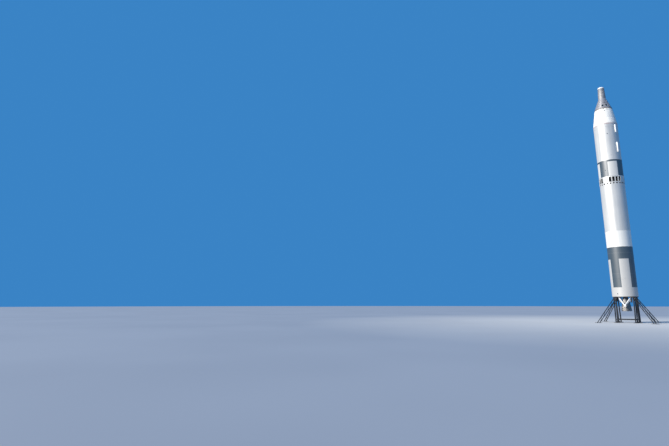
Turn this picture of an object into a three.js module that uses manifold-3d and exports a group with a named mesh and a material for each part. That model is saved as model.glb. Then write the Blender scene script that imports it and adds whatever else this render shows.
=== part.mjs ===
// Two-stage crewed rocket standing on a steel display stand.
// Millimetres. +Z is up along the rocket's axis. The origin is on the ground at the middle of the stand.
// -Y is the side of the crew hatches. An azimuth of 0 degrees points along -Y and 90 degrees along +X.
import * as THREE from "three";
import Module from "manifold-3d";

const wasm = await Module();
wasm.setup();

// Heights above the ground.
const SKIRT_BOTTOM = 3500;
const SKIRT_TOP = 5900;
const LOWER_BAND_TOP = 10290;
const WHITE_BAND_TOP = 12530;
const OXIDISER_TOP = 19100;
const INTERSTAGE_TOP = 20430;
const UPPER_BAND_TOP = 22800;
const UPPER_TANK_TOP = 27800;
const ADAPTER_BOTTOM = 28340;
const ADAPTER_MIDDLE = 29330;
const HEAT_SHIELD = 30770;
const CABIN_BOTTOM = 30860;
const CABIN_TOP = 32620;
const THRUSTER_TOP = 33120;
const NOSE_SECTION_TOP = 34290;
const NOSE_TOP = 34480;

// Radii.
const BODY_R = 1524;
const SKIN = 40;
const SHIELD_R = 1143;
const NECK_R = 490;
const SIDES = 48;
const GAP = 0.3;

// The first-stage engines hang one behind the other on a line that is turned by GROUND_TURN from Y.
// Their frame, the pumps, the struts and the stand are turned with them.
const GROUND_TURN = -18;
const ENGINE_Y = 800;
const ENGINE_PIVOT = 4250;
const ENGINE_EXIT = 1550;
const UPPER_PIVOT = 22150;
const UPPER_EXIT = 19900;

// The stand. Its azimuths are those before the turn.
const LEG_AZIMUTHS = [45, 135, 225, 315];
const LEG_R = 1600;
const LEG_DEEP = 110;
const FOOT_R = 4600;
const RING_R = 1360;
const RING_OUTER_R = 1515;
const RING_TOP = SKIRT_BOTTOM - GAP;
const RING_BOTTOM = 3420;

const rocket = new THREE.Group();
rocket.name = "rocket";

// A point at an azimuth in degrees, a distance from the axis and a height.
function at(azimuth, r, z) {
  const a = THREE.MathUtils.degToRad(azimuth);
  return new THREE.Vector3(r * Math.sin(a), -r * Math.cos(a), z);
}

// A closed solid from a geometry: equal corners are joined and faces without area are left out.
function solid(geometry) {
  const flat = geometry.index ? geometry.toNonIndexed() : geometry;
  const place = flat.getAttribute("position");
  const seen = new Map();
  const points = [];
  const triangles = [];
  for (let i = 0; i < place.count; i += 3) {
    const corners = [];
    for (let k = i; k < i + 3; k++) {
      const p = [place.getX(k), place.getY(k), place.getZ(k)];
      const key = p.map((v) => Math.round(v * 50)).join(" ");
      if (!seen.has(key)) {
        seen.set(key, points.length / 3);
        points.push(...p);
      }
      corners.push(seen.get(key));
    }
    if (new Set(corners).size === 3) triangles.push(...corners);
  }
  const made = new wasm.Manifold(
    new wasm.Mesh({
      numProp: 3,
      vertProperties: new Float32Array(points),
      triVerts: new Uint32Array(triangles),
    }),
  );
  if (made.volume() > 0) return made;
  const turned = [];
  for (let i = 0; i < triangles.length; i += 3) {
    turned.push(triangles[i], triangles[i + 2], triangles[i + 1]);
  }
  return new wasm.Manifold(
    new wasm.Mesh({
      numProp: 3,
      vertProperties: new Float32Array(points),
      triVerts: new Uint32Array(turned),
    }),
  );
}

// A profile of [radius, height] pairs turned about the rocket's axis, or about another upright axis.
function spun(profile, sides = SIDES, x = 0, y = 0) {
  const outline = profile.map(([r, z]) => new THREE.Vector2(r, z));
  const geometry = new THREE.LatheGeometry(outline, sides);
  geometry.rotateX(Math.PI / 2);
  geometry.translate(x, y, 0);
  return solid(geometry);
}

// An outline of [x, y] pairs raised from one height to another.
function raised(outline, low, high) {
  const shape = new THREE.Shape(outline.map(([x, y]) => new THREE.Vector2(x, y)));
  const geometry = new THREE.ExtrudeGeometry(shape, { depth: high - low, bevelEnabled: false });
  geometry.translate(0, 0, low);
  return solid(geometry);
}

// A pie slice between two azimuths, to cut part of a turned shape out with.
function slice(from, to, low, high, reach = 3000) {
  const outline = [[0, 0]];
  for (const a of [from, (from + to) / 2, to]) {
    const p = at(a, reach, 0);
    outline.push([p.x, p.y]);
  }
  return raised(outline, low, high);
}

// A box by its limits.
function block(x0, x1, y0, y1, z0, z1) {
  const geometry = new THREE.BoxGeometry(x1 - x0, y1 - y0, z1 - z0);
  geometry.translate((x0 + x1) / 2, (y0 + y1) / 2, (z0 + z1) / 2);
  return solid(geometry);
}

// Lays a geometry made along its own Y axis between two points. Its X axis stays level where it can.
function laid(geometry, from, to) {
  const along = new THREE.Vector3().subVectors(to, from).normalize();
  const up = new THREE.Vector3(0, 0, 1);
  const side = new THREE.Vector3().crossVectors(along, up);
  if (side.length() < 0.001) side.set(1, 0, 0);
  side.normalize();
  const third = new THREE.Vector3().crossVectors(side, along);
  geometry.applyMatrix4(new THREE.Matrix4().makeBasis(side, along, third));
  const middle = new THREE.Vector3().addVectors(from, to).multiplyScalar(0.5);
  geometry.translate(middle.x, middle.y, middle.z);
  return solid(geometry);
}

// A round rod between two points.
function rod(from, to, radius, sides = 12) {
  const length = from.distanceTo(to);
  return laid(new THREE.CylinderGeometry(radius, radius, length, sides), from, to);
}

// A square bar between two points: wide is its level side and deep the other one.
function bar(from, to, wide, deep) {
  const length = from.distanceTo(to);
  return laid(new THREE.BoxGeometry(wide, length, deep), from, to);
}

// An upright box turned to face an azimuth: its size across, outwards and upwards.
function facing(azimuth, r, z, across, outwards, upwards) {
  const geometry = new THREE.BoxGeometry(across, outwards, upwards);
  geometry.rotateZ(THREE.MathUtils.degToRad(azimuth));
  const p = at(azimuth, r, z);
  geometry.translate(p.x, p.y, p.z);
  return solid(geometry);
}

function join(parts) {
  return parts.reduce((all, next) => all.add(next));
}

const paints = {};

// Each paint: colour, roughness and metalness.
const PAINTS = {
  body_white: [0xeeeeee, 0.5, 0.0],
  tank_silver: [0xdcdfe2, 0.35, 0.5],
  capsule_metal: [0x54585c, 0.5, 0.6],
  stand_black: [0x1c1d1f, 0.55, 0.1],
  frame_white: [0xe4e4e0, 0.5, 0.0],
  engine_metal: [0x9a9a98, 0.4, 0.8],
  shield_brown: [0x6a5442, 0.8, 0.0],
  seat_grey: [0x6f7470, 0.8, 0.0],
  panel_grey: [0x8c9092, 0.6, 0.0],
  window_glass: [0x203040, 0.1, 0.0],
};

// Adds a node. Its turn is in degrees about the rocket's axis.
function add(name, paint, shape, turn = 0) {
  if (!paints[paint]) {
    const [color, roughness, metalness] = PAINTS[paint];
    paints[paint] = new THREE.MeshStandardMaterial({ color, roughness, metalness });
    paints[paint].name = paint;
  }
  const made = shape.getMesh();
  const geometry = new THREE.BufferGeometry();
  geometry.setAttribute("position", new THREE.BufferAttribute(new Float32Array(made.vertProperties), 3));
  geometry.setIndex(new THREE.BufferAttribute(new Uint32Array(made.triVerts), 1));
  geometry.rotateZ(THREE.MathUtils.degToRad(turn));
  geometry.computeVertexNormals();
  const mesh = new THREE.Mesh(geometry, paints[paint]);
  mesh.name = name;
  rocket.add(mesh);
}

// A shell of the body between two heights.
function shell(low, high) {
  const inner = BODY_R - SKIN;
  return spun([
    [inner, low],
    [BODY_R, low],
    [BODY_R, high],
    [inner, high],
    [inner, low],
  ]);
}

// The round space inside a shell of the body, which what stands in it is trimmed to.
// It stays clear of the flats of the shell's sides at every turn.
function within(low, high) {
  const r = (BODY_R - SKIN) * Math.cos(Math.PI / SIDES) - GAP;
  return spun([[0, low], [r, low], [r, high], [0, high]]);
}

// A dome below or above a tank, as [radius, height] pairs from the axis to the rim.
function dome(rimR, rim, tip, steps = 5) {
  const points = [];
  for (let i = 0; i < steps; i++) {
    const a = (Math.PI / 2) * (i / steps);
    points.push([rimR * Math.sin(a), rim + (tip - rim) * Math.cos(a)]);
  }
  points.push([rimR, rim]);
  return points;
}

const domeR = BODY_R - SKIN - 15;

// First stage
const skirtRing = spun([
  [BODY_R - SKIN - 60, SKIRT_BOTTOM],
  [BODY_R - SKIN + 1, SKIRT_BOTTOM],
  [BODY_R - SKIN + 1, SKIRT_BOTTOM + 60],
  [BODY_R - SKIN - 60, SKIRT_BOTTOM + 60],
  [BODY_R - SKIN - 60, SKIRT_BOTTOM],
]);
add("aft_skirt", "body_white", shell(SKIRT_BOTTOM, SKIRT_TOP - GAP).add(skirtRing));
add(
  "fuel_tank",
  "body_white",
  spun([...dome(domeR, SKIRT_TOP, 5250), [BODY_R, SKIRT_TOP], [BODY_R, LOWER_BAND_TOP - GAP], [0, LOWER_BAND_TOP - GAP]]),
);
add("between_tanks_band", "body_white", spun([[0, LOWER_BAND_TOP], [BODY_R, LOWER_BAND_TOP], [BODY_R, WHITE_BAND_TOP - GAP], [0, WHITE_BAND_TOP - GAP]]));
add(
  "oxidiser_tank",
  "tank_silver",
  spun([[0, WHITE_BAND_TOP], [BODY_R, WHITE_BAND_TOP], [BODY_R, OXIDISER_TOP], ...dome(domeR, OXIDISER_TOP, 19640).reverse()]),
);

// Interstage with blast ports and vent holes
const PORT_AZIMUTHS = [-19.25, -3.75, 11.75, 27.25];
const PORT_LOW = 19570;
const PORT_HIGH = 20270;
const PORT_WIDTH = 290;
const VENT_HEIGHT = 19350;
const VENT_R = 78;
const cuts = [];

// Four lugs for the stays, at one azimuth and every quarter turn after it
function stayLugs(first, z) {
  const lugs = [];
  for (const turn of [0, 90, 180, 270]) {
    lugs.push(facing(first + turn, BODY_R + 25, z, 30, 130, 80));
    lugs.push(facing(first + turn, BODY_R + 4, z, 110, 24, 120));
  }
  return lugs;
}

for (const side of [0, 90, 180, 270]) {
  for (const offset of PORT_AZIMUTHS) {
    cuts.push(facing(side + offset, BODY_R - 20, (PORT_LOW + PORT_HIGH) / 2, PORT_WIDTH, 200, PORT_HIGH - PORT_LOW));
  }
}
for (let k = 0; k < 24; k++) {
  const azimuth = -4.5 + 15 * k;
  cuts.push(rod(at(azimuth, BODY_R - 120, VENT_HEIGHT), at(azimuth, BODY_R + 80, VENT_HEIGHT), VENT_R, 8));
}
const interstage = shell(OXIDISER_TOP + GAP, INTERSTAGE_TOP - GAP).subtract(join(cuts));
add("interstage", "tank_silver", join([interstage, ...stayLugs(26, 19450)]));

// Second stage
add("upper_engine_shell", "body_white", shell(INTERSTAGE_TOP, UPPER_BAND_TOP - GAP));
add(
  "upper_tanks",
  "tank_silver",
  spun([...dome(domeR, UPPER_BAND_TOP, 22500), [BODY_R, UPPER_BAND_TOP], [BODY_R, UPPER_TANK_TOP - GAP], [0, UPPER_TANK_TOP - GAP]]),
);
const forwardSkirt = spun([[0, UPPER_TANK_TOP], [BODY_R, UPPER_TANK_TOP], [BODY_R, ADAPTER_BOTTOM - GAP], [0, ADAPTER_BOTTOM - GAP]]);
add("forward_skirt", "tank_silver", join([forwardSkirt, ...stayLugs(51, 28160)]));

// Raceway covers: boxes with sloped ends on the upper tanks
const RACEWAYS = [
  { name: "raceway_low", low: 23930, high: 25360 },
  { name: "raceway_high", low: 26900, high: 28030 },
];
const RACEWAY_AZIMUTH = 38;
for (const { name, low, high } of RACEWAYS) {
  const body = facing(RACEWAY_AZIMUTH, BODY_R + 35, (low + high) / 2, 210, 170, high - low);
  add(name, "body_white", body.subtract(spun([[0, low - 50], [BODY_R + GAP, low - 50], [BODY_R + GAP, high + 50], [0, high + 50]])));
}

// Spacecraft adapter
const middleR = BODY_R + ((SHIELD_R - BODY_R) * (ADAPTER_MIDDLE - ADAPTER_BOTTOM)) / (HEAT_SHIELD - ADAPTER_BOTTOM);
add("adapter_low", "body_white", spun([[0, ADAPTER_BOTTOM], [BODY_R, ADAPTER_BOTTOM], [middleR, ADAPTER_MIDDLE - GAP], [0, ADAPTER_MIDDLE - GAP]]));
add("adapter_high", "body_white", spun([[0, ADAPTER_MIDDLE], [middleR, ADAPTER_MIDDLE], [SHIELD_R, HEAT_SHIELD - GAP], [0, HEAT_SHIELD - GAP]]));
add("heat_shield", "shield_brown", spun([[0, HEAT_SHIELD], [SHIELD_R - 12, HEAT_SHIELD], [SHIELD_R, HEAT_SHIELD + 20], [SHIELD_R, CABIN_BOTTOM - GAP], [0, CABIN_BOTTOM - GAP]]));

// Cabin: a hollow cone with an opening for each hatch
const CONE_SLOPE = (SHIELD_R - NECK_R) / (CABIN_TOP - CABIN_BOTTOM);
const CONE_COS = 1 / Math.hypot(1, CONE_SLOPE);
const CONE_SIN = CONE_SLOPE * CONE_COS;
const CABIN_SKIN = 30;
function coneR(z) {
  return SHIELD_R - (z - CABIN_BOTTOM) * CONE_SLOPE;
}

// A piece of the cone's skin between two heights and two depths under its outer face.
// Its ends stand square to the skin.
function coneSkin(low, high, top, bottom) {
  const profile = [
    [low, bottom],
    [low, top],
    [high, top],
    [high, bottom],
    [low, bottom],
  ].map(([z, depth]) => [coneR(z) - depth * CONE_COS, z - depth * CONE_SIN]);
  return spun(profile);
}

function conePiece(from, to, low, high, top, bottom) {
  return coneSkin(low, high, top, bottom).intersect(slice(from, to, low - 200, high + 200));
}

const HATCH_LOW = 31010;
const HATCH_HIGH = 32160;
const HATCH_INNER = 3.5;
const HATCH_OUTER = 41;
const HATCH_GAP = 6;
const WINDOW_LOW = 31130;
const WINDOW_HIGH = 31490;
const WINDOW_INNER = 6.5;
const WINDOW_OUTER = 22;
const HINGE_AZIMUTH = 41.2;
const HINGE_RISE = 18;
const KNUCKLE_R = 12;
const hatchTurn = 0.45;

let cabin = spun([
  [coneR(CABIN_BOTTOM) - CABIN_SKIN / CONE_COS, CABIN_BOTTOM],
  [coneR(CABIN_BOTTOM), CABIN_BOTTOM],
  [coneR(CABIN_TOP - GAP), CABIN_TOP - GAP],
  [coneR(CABIN_TOP - GAP) - CABIN_SKIN / CONE_COS, CABIN_TOP - GAP],
  [coneR(CABIN_BOTTOM) - CABIN_SKIN / CONE_COS, CABIN_BOTTOM],
]);
for (const side of [1, -1]) {
  const a = side * (HATCH_INNER - hatchTurn);
  const b = side * (HATCH_OUTER + hatchTurn);
  const opening = conePiece(Math.min(a, b), Math.max(a, b), HATCH_LOW - HATCH_GAP, HATCH_HIGH + HATCH_GAP, -40, CABIN_SKIN + 40);
  cabin = cabin.subtract(opening);
}

// A point on a hatch's hinge line, which runs along the cone a little above its skin.
function hingePoint(side, z) {
  return at(side * HINGE_AZIMUTH, coneR(z) + HINGE_RISE * CONE_COS, z + HINGE_RISE * CONE_SIN);
}

// A knuckle on the hinge line between two heights. Its leaf reaches into the skin, towards or away from the hatch.
function knuckle(side, low, high, leafSide) {
  const from = hingePoint(side, low);
  const to = hingePoint(side, high);
  const tangent = at(side * HINGE_AZIMUTH + 90 * side * leafSide, 27, 0);
  const normal = at(side * HINGE_AZIMUTH, CONE_COS, CONE_SIN);
  const shift = tangent.clone().addScaledVector(normal, -11);
  const leaf = bar(from.clone().add(shift), to.clone().add(shift), 48, 30);
  return join([rod(from, to, KNUCKLE_R, 12), leaf]);
}

const HINGE_HEIGHTS = [31200, 31960];
for (const side of [1, -1]) {
  for (const z of HINGE_HEIGHTS) {
    cabin = join([cabin, knuckle(side, z, z + 50, 1), knuckle(side, z + 112, z + 162, 1)]);
  }
}
add("cabin_shell", "capsule_metal", cabin);

const HATCHES = [
  { name: "right", side: 1 },
  { name: "left", side: -1 },
];
for (const { name, side } of HATCHES) {
  const ends = [side * HATCH_INNER, side * HATCH_OUTER].sort((p, q) => p - q);
  const glassEnds = [side * WINDOW_INNER, side * WINDOW_OUTER].sort((p, q) => p - q);
  const panel = conePiece(ends[0], ends[1], HATCH_LOW, HATCH_HIGH, 0, CABIN_SKIN);
  const hole = conePiece(glassEnds[0], glassEnds[1], WINDOW_LOW, WINDOW_HIGH, -20, CABIN_SKIN + 20);
  const leaves = HINGE_HEIGHTS.map((z) => knuckle(side, z + 56, z + 106, -1));
  add("hatch_" + name, "capsule_metal", join([panel.subtract(hole), ...leaves]));
  const glass = conePiece(glassEnds[0] + 0.04, glassEnds[1] - 0.04, WINDOW_LOW + 0.5, WINDOW_HIGH - 0.5, 8, 20);
  add("window_" + name, "window_glass", glass);
}

// Cabin inside: two seats on their backs, the instrument panel above them, which faces down to the crew,
// and the bulkhead at the top
for (const { name, side } of HATCHES) {
  const x = side * 330;
  const back = block(x - 250, x + 250, -560, 330, CABIN_BOTTOM + 40, CABIN_BOTTOM + 130);
  const pan = block(x - 250, x + 250, 330, 430, CABIN_BOTTOM + 40, CABIN_BOTTOM + 480);
  const head = block(x - 150, x + 150, -560, -440, CABIN_BOTTOM + 100, CABIN_BOTTOM + 190);
  const foot = block(x - 200, x + 200, -100, 100, CABIN_BOTTOM, CABIN_BOTTOM + 60);
  add("seat_" + name, "seat_grey", join([back, pan, head, foot]));
}
const BULKHEAD = 32400;
const bulkheadR = coneR(BULKHEAD + 30) - CABIN_SKIN / CONE_COS - 5;
add("cabin_bulkhead", "panel_grey", spun([[0, BULKHEAD], [bulkheadR, BULKHEAD], [bulkheadR, BULKHEAD + 25], [0, BULKHEAD + 25]], 32));
const panelBoard = block(-420, 420, -400, 120, 31640, 31700);
const panelCentre = block(-110, 110, -100, 100, 31300, 31641);
const panelStay = block(-40, 40, -60, 20, 31699, BULKHEAD - 0.5);
add("instrument_panel", "panel_grey", join([panelBoard, panelCentre, panelStay]));

// Nose
add("thruster_section", "capsule_metal", spun([[0, CABIN_TOP], [NECK_R, CABIN_TOP], [NECK_R - 6, THRUSTER_TOP - GAP], [0, THRUSTER_TOP - GAP]], 48));
add("nose_section", "capsule_metal", spun([[0, THRUSTER_TOP], [470, THRUSTER_TOP], [410, NOSE_SECTION_TOP - GAP], [0, NOSE_SECTION_TOP - GAP]], 48));
add("nose_cap", "body_white", spun([[0, NOSE_SECTION_TOP], [425, NOSE_SECTION_TOP], [425, NOSE_TOP - 90], [340, NOSE_TOP - 25], [0, NOSE_TOP]], 48));

// Engines: a cross piece turns on pins along X, and the chamber turns on the cross piece's pins along Y
const PIN_R = 28;
const PIN_REACH = 118;
const YOKE_IN = 92;
const YOKE_OUT = 120;

function crossPiece(y, z) {
  const middle = block(-60, 60, y - 60, y + 60, z - 60, z + 60);
  const pinX = rod(new THREE.Vector3(-PIN_REACH, y, z), new THREE.Vector3(PIN_REACH, y, z), PIN_R, 16);
  const pinY = rod(new THREE.Vector3(0, y - PIN_REACH, z), new THREE.Vector3(0, y + PIN_REACH, z), PIN_R, 16);
  return join([middle, pinX, pinY]);
}

// Ears on both sides of a cross piece. They stand above it on the body, and below it on the chamber.
function bodyEars(y, z, top) {
  const ears = [];
  for (const side of [1, -1]) {
    const x0 = Math.min(side * YOKE_IN, side * YOKE_OUT);
    ears.push(block(x0, x0 + YOKE_OUT - YOKE_IN, y - 55, y + 55, z - 55, top));
  }
  const bore = rod(new THREE.Vector3(-300, y, z), new THREE.Vector3(300, y, z), PIN_R + 0.5, 16);
  return ears.map((ear) => ear.subtract(bore));
}

function chamberEars(y, z, bottom) {
  const ears = [];
  for (const side of [1, -1]) {
    const y0 = y + Math.min(side * YOKE_IN, side * YOKE_OUT);
    ears.push(block(-55, 55, y0, y0 + YOKE_OUT - YOKE_IN, bottom, z + 55));
  }
  const bore = rod(new THREE.Vector3(0, y - 300, z), new THREE.Vector3(0, y + 300, z), PIN_R + 0.5, 16);
  return ears.map((ear) => ear.subtract(bore));
}

const MAIN_ENGINES = [
  { name: "front", y: -ENGINE_Y },
  { name: "rear", y: ENGINE_Y },
];
const frameParts = [
  block(-150, 150, -1550, 1550, 4420, 4520),
  block(-1550, 1550, -60, 60, 4419, 4521),
];
for (const { y } of MAIN_ENGINES) {
  frameParts.push(block(-760, 760, y - 90, y + 90, 4418, 4522), ...bodyEars(y, ENGINE_PIVOT, 4421));
}
for (const azimuth of [0, 90, 180, 270]) {
  frameParts.push(bar(at(azimuth, 1000, 4470), at(azimuth, 1500, 4950), 200, 60));
}
add("thrust_frame", "frame_white", join(frameParts).intersect(within(4000, 5200)), GROUND_TURN);

const MAIN_LEVELS = [
  { r: 0, z: 4130, hollow: false },
  { r: 150, z: 4120, hollow: false },
  { r: 265, z: 4000, hollow: false },
  { r: 265, z: 3760, hollow: false },
  { r: 200, z: 3480, hollow: true },
  { r: 300, z: 3060, hollow: true },
  { r: 420, z: 2460, hollow: true },
  { r: 505, z: 1900, hollow: true },
  { r: 545, z: ENGINE_EXIT, hollow: true },
];

function chamber(y, levels, wall, pivot, top) {
  const hollow = levels.filter((level) => level.hollow);
  const outside = levels.map(({ r, z }) => [r, z]);
  const inside = hollow.map(({ r, z }) => [r - wall, z]).reverse();
  const throat = inside[inside.length - 1];
  const profile = [...outside, ...inside, [0, throat[1] + 60]];
  return join([spun(profile, 32, 0, y), ...chamberEars(y, pivot, top)]);
}

for (const { name, y } of MAIN_ENGINES) {
  add("cross_piece_" + name, "engine_metal", crossPiece(y, ENGINE_PIVOT), GROUND_TURN);
  add("chamber_" + name, "engine_metal", chamber(y, MAIN_LEVELS, 22, ENGINE_PIVOT, 4040), GROUND_TURN);
}

// Pumps beside the chambers with their exhaust pipes, and the feed pipes from the tank's dome
const PUMPS = [
  { name: "front", x: 640, y: -760 },
  { name: "rear", x: -640, y: 760 },
];
for (const { name, x, y } of PUMPS) {
  const side = Math.sign(x);
  const body = spun([[0, 3620], [120, 3620], [170, 3680], [170, 4050], [90, 4110], [90, 4417.7], [0, 4417.7]], 24, x, y);
  const elbow = rod(new THREE.Vector3(x, y, 3700), new THREE.Vector3(x + side * 120, y * 0.62, 3560), 75);
  const stack = rod(new THREE.Vector3(x + side * 120, y * 0.62, 3580), new THREE.Vector3(x + side * 60, y * 0.5, 2700), 75);
  add("pump_" + name, "engine_metal", join([body, elbow, stack]), GROUND_TURN);
}

// White struts: in front of each chamber a V of two double tubes from the support ring to a fitting
const STRUT_HUB = { r: 1560, z: 2330 };
const STRUT_R = 62;
const STAY_R = 28;
const STAY_SPREAD = 27;
const STRUT_SPREAD = 34;
for (const { name, middle } of [{ name: "front", middle: 0 }, { name: "rear", middle: 180 }]) {
  const hub = at(middle, STRUT_HUB.r, STRUT_HUB.z);
  const parts = [facing(middle, STRUT_HUB.r, STRUT_HUB.z - 30, 190, 90, 280)];
  for (const side of [1, -1]) {
    const azimuth = middle + side * STRUT_SPREAD;
    const bend = at(middle + side * STAY_SPREAD, 1320, 3000);
    parts.push(rod(hub, at(azimuth, 1290, 3450), STRUT_R, 12));
    parts.push(facing(azimuth, 1305, 3450, 150, 130, 60));
    parts.push(rod(at(middle, STRUT_HUB.r, STRUT_HUB.z - 110), bend, STAY_R, 8));
    parts.push(rod(bend.clone().add(new THREE.Vector3(0, 0, -8)), at(middle + side * STAY_SPREAD, 1320, 3450), STAY_R, 8));
  }
  const room = spun([[0, 2000], [1700, 2000], [1700, 3300], [RING_R - GAP, 3300], [RING_R - GAP, 3490], [0, 3490]]);
  add("strut_" + name, "frame_white", join(parts).intersect(room), GROUND_TURN);
}

// Second-stage engine on its own frame
const upperFrame = [
  block(-130, 130, -1550, 1550, 22290, 22380),
  block(-1550, 1550, -60, 60, 22289, 22381),
  ...bodyEars(0, UPPER_PIVOT, 22291),
];
add("upper_thrust_frame", "frame_white", join(upperFrame).intersect(within(22000, 22700)));
const UPPER_LEVELS = [
  { r: 0, z: 22030, hollow: false },
  { r: 130, z: 22020, hollow: false },
  { r: 215, z: 21920, hollow: false },
  { r: 215, z: 21740, hollow: false },
  { r: 140, z: 21520, hollow: true },
  { r: 330, z: 21180, hollow: true },
  { r: 560, z: 20700, hollow: true },
  { r: 740, z: 20250, hollow: true },
  { r: 830, z: UPPER_EXIT, hollow: true },
];
add("cross_piece_upper", "engine_metal", crossPiece(0, UPPER_PIVOT));
add("chamber_upper", "engine_metal", chamber(0, UPPER_LEVELS, 22, UPPER_PIVOT, 21960));

// Stand: a ring under the skirt, four legs, four sloping lattice braces and the tie beams
add(
  "support_ring",
  "stand_black",
  spun([
    [RING_R, RING_BOTTOM],
    [RING_OUTER_R, RING_BOTTOM],
    [RING_OUTER_R, RING_TOP],
    [RING_R, RING_TOP],
    [RING_R, RING_BOTTOM],
  ]),
  GROUND_TURN,
);

// A point beside an azimuth: its distance outwards, its distance across and its height
function beside(azimuth, r, across, z) {
  return at(azimuth, r, z).add(at(azimuth + 90, across, 0));
}

// A leg is a pair of posts that spread towards the base plate. The plate on top has an oval eye,
// and an arm reaches from it in under the ring.
const ARM_IN = 1330;
const TIE_Z = 430;
function leg(azimuth) {
  const top = RING_BOTTOM - GAP;
  const parts = [facing(azimuth, LEG_R, 15, 860, 460, 30)];
  for (const side of [1, -1]) {
    parts.push(bar(beside(azimuth, LEG_R, side * 265, 10), beside(azimuth, LEG_R, side * 175, 3000), 105, LEG_DEEP));
    parts.push(facing(azimuth, LEG_R, 90, 24, 300, 130));
  }
  const eye = [
    rod(at(azimuth, LEG_R - 200, 3150), at(azimuth, LEG_R + 200, 3150), 85, 12),
    rod(at(azimuth, LEG_R - 200, 3260), at(azimuth, LEG_R + 200, 3260), 85, 12),
    facing(azimuth, LEG_R, 3205, 170, 400, 110),
  ];
  parts.push(facing(azimuth, LEG_R, 3195, 470, LEG_DEEP, 540).subtract(join(eye)));
  parts.push(facing(azimuth, (ARM_IN + LEG_R) / 2, top - 30, 420, LEG_R - ARM_IN, 60));
  parts.push(facing(azimuth, LEG_R, TIE_Z, 600, LEG_DEEP, 120));
  return join(parts);
}

// A brace is a flat lattice in the upright plane through its leg: two chords one above the other,
// and the lacing between them.
const BRACE_IN = LEG_R + LEG_DEEP / 2 + GAP;
const BRACE_TOP = 3400;
const BRACE_DROP = 430;
const CHORD = 70;
const LACING = 30;
function brace(azimuth) {
  const slope = BRACE_TOP / (FOOT_R - BRACE_IN);
  const point = (r, drop) => at(azimuth, r, BRACE_TOP - (r - BRACE_IN) * slope - drop);
  const parts = [
    bar(point(BRACE_IN - 80, 0), point(FOOT_R + 60, 0), CHORD, CHORD),
    bar(point(BRACE_IN - 80, BRACE_DROP), point(FOOT_R - 250, BRACE_DROP), CHORD, CHORD),
  ];
  const bays = 8;
  const step = (FOOT_R - 480 - BRACE_IN - 70) / bays;
  for (let k = 0; k < bays; k++) {
    const near = BRACE_IN + 70 + k * step;
    const startsLow = k % 2 === 0;
    const from = point(near, startsLow ? BRACE_DROP : 0);
    parts.push(bar(from, point(near + step, startsLow ? 0 : BRACE_DROP), LACING, LACING));
  }
  const middle = (BRACE_IN + 5200) / 2;
  const room = facing(azimuth, middle, 1800, 400, 5200 - BRACE_IN, 3600);
  const end = facing(azimuth, BRACE_IN + 12, BRACE_TOP - BRACE_DROP / 2 - 30, 200, 24, 620);
  const foot = facing(azimuth, FOOT_R - 200, 15, 420, 800, 30);
  return join([join(parts).intersect(room), end, foot]);
}

LEG_AZIMUTHS.forEach((azimuth, index) => {
  add("leg_" + (index + 1), "stand_black", leg(azimuth), GROUND_TURN);
  add("brace_" + (index + 1), "stand_black", brace(azimuth), GROUND_TURN);
});

// Low tie beams between the legs. Each end is cut along the inner face of a leg's cross bar.
const TIES = ["right", "rear", "left", "front"];
const tieR = LEG_R * Math.SQRT1_2 + 45;
TIES.forEach((name, index) => {
  const azimuth = LEG_AZIMUTHS[index] + 45;
  let beam = facing(azimuth, tieR, TIE_Z, 3000, 90, 110);
  for (const end of [-45, 45]) {
    const r = LEG_R - LEG_DEEP / 2 - GAP;
    beam = beam.intersect(facing(azimuth + end, r - 2000, TIE_Z, 8000, 4000, 1000));
  }
  add("tie_beam_" + name, "stand_black", beam, GROUND_TURN);
});

export default rocket;
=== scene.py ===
# %% [markdown]
# A two-stage rocket with a small crew capsule stands on a steel display stand. This lesson dresses its
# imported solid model: smooth turned skins, painted panels, a shingled capsule, bells with bands, and a
# bolted stand. Everything is in metres. +Z is up along the rocket, the origin is on the ground under its
# axis, and -Y is the side with the crew hatches. An azimuth of 0 degrees points along -Y and 90 degrees
# along +X.

import math
from itertools import pairwise, product

import bmesh
import bpy
from mathutils import Matrix, Vector


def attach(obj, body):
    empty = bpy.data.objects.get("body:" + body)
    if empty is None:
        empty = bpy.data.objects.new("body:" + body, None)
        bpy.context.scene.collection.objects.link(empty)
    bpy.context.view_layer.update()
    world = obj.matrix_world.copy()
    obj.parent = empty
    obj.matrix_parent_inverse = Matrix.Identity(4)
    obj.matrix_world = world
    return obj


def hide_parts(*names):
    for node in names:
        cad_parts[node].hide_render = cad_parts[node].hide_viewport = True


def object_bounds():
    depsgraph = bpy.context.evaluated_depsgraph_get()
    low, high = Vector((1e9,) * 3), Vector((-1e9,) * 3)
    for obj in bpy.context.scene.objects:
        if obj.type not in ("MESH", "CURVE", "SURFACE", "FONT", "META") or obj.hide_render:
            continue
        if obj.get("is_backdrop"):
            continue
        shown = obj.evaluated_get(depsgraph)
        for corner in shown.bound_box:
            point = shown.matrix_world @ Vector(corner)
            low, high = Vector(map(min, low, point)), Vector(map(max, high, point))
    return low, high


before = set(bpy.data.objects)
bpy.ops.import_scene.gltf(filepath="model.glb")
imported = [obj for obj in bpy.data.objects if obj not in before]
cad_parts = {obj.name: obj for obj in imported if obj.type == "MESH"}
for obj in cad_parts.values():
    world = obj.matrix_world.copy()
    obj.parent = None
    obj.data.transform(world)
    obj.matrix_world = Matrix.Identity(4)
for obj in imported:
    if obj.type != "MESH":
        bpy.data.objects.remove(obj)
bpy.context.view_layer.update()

# %% [markdown]
# The photograph is taken from near the ground, well to one side, with the lens tilted up so that the nose
# fits. The rocket therefore stands in the right part of the frame and leans a little. Placing the camera at
# the real distance keeps that lean true, where turning the rocket would only imitate it.

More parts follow.
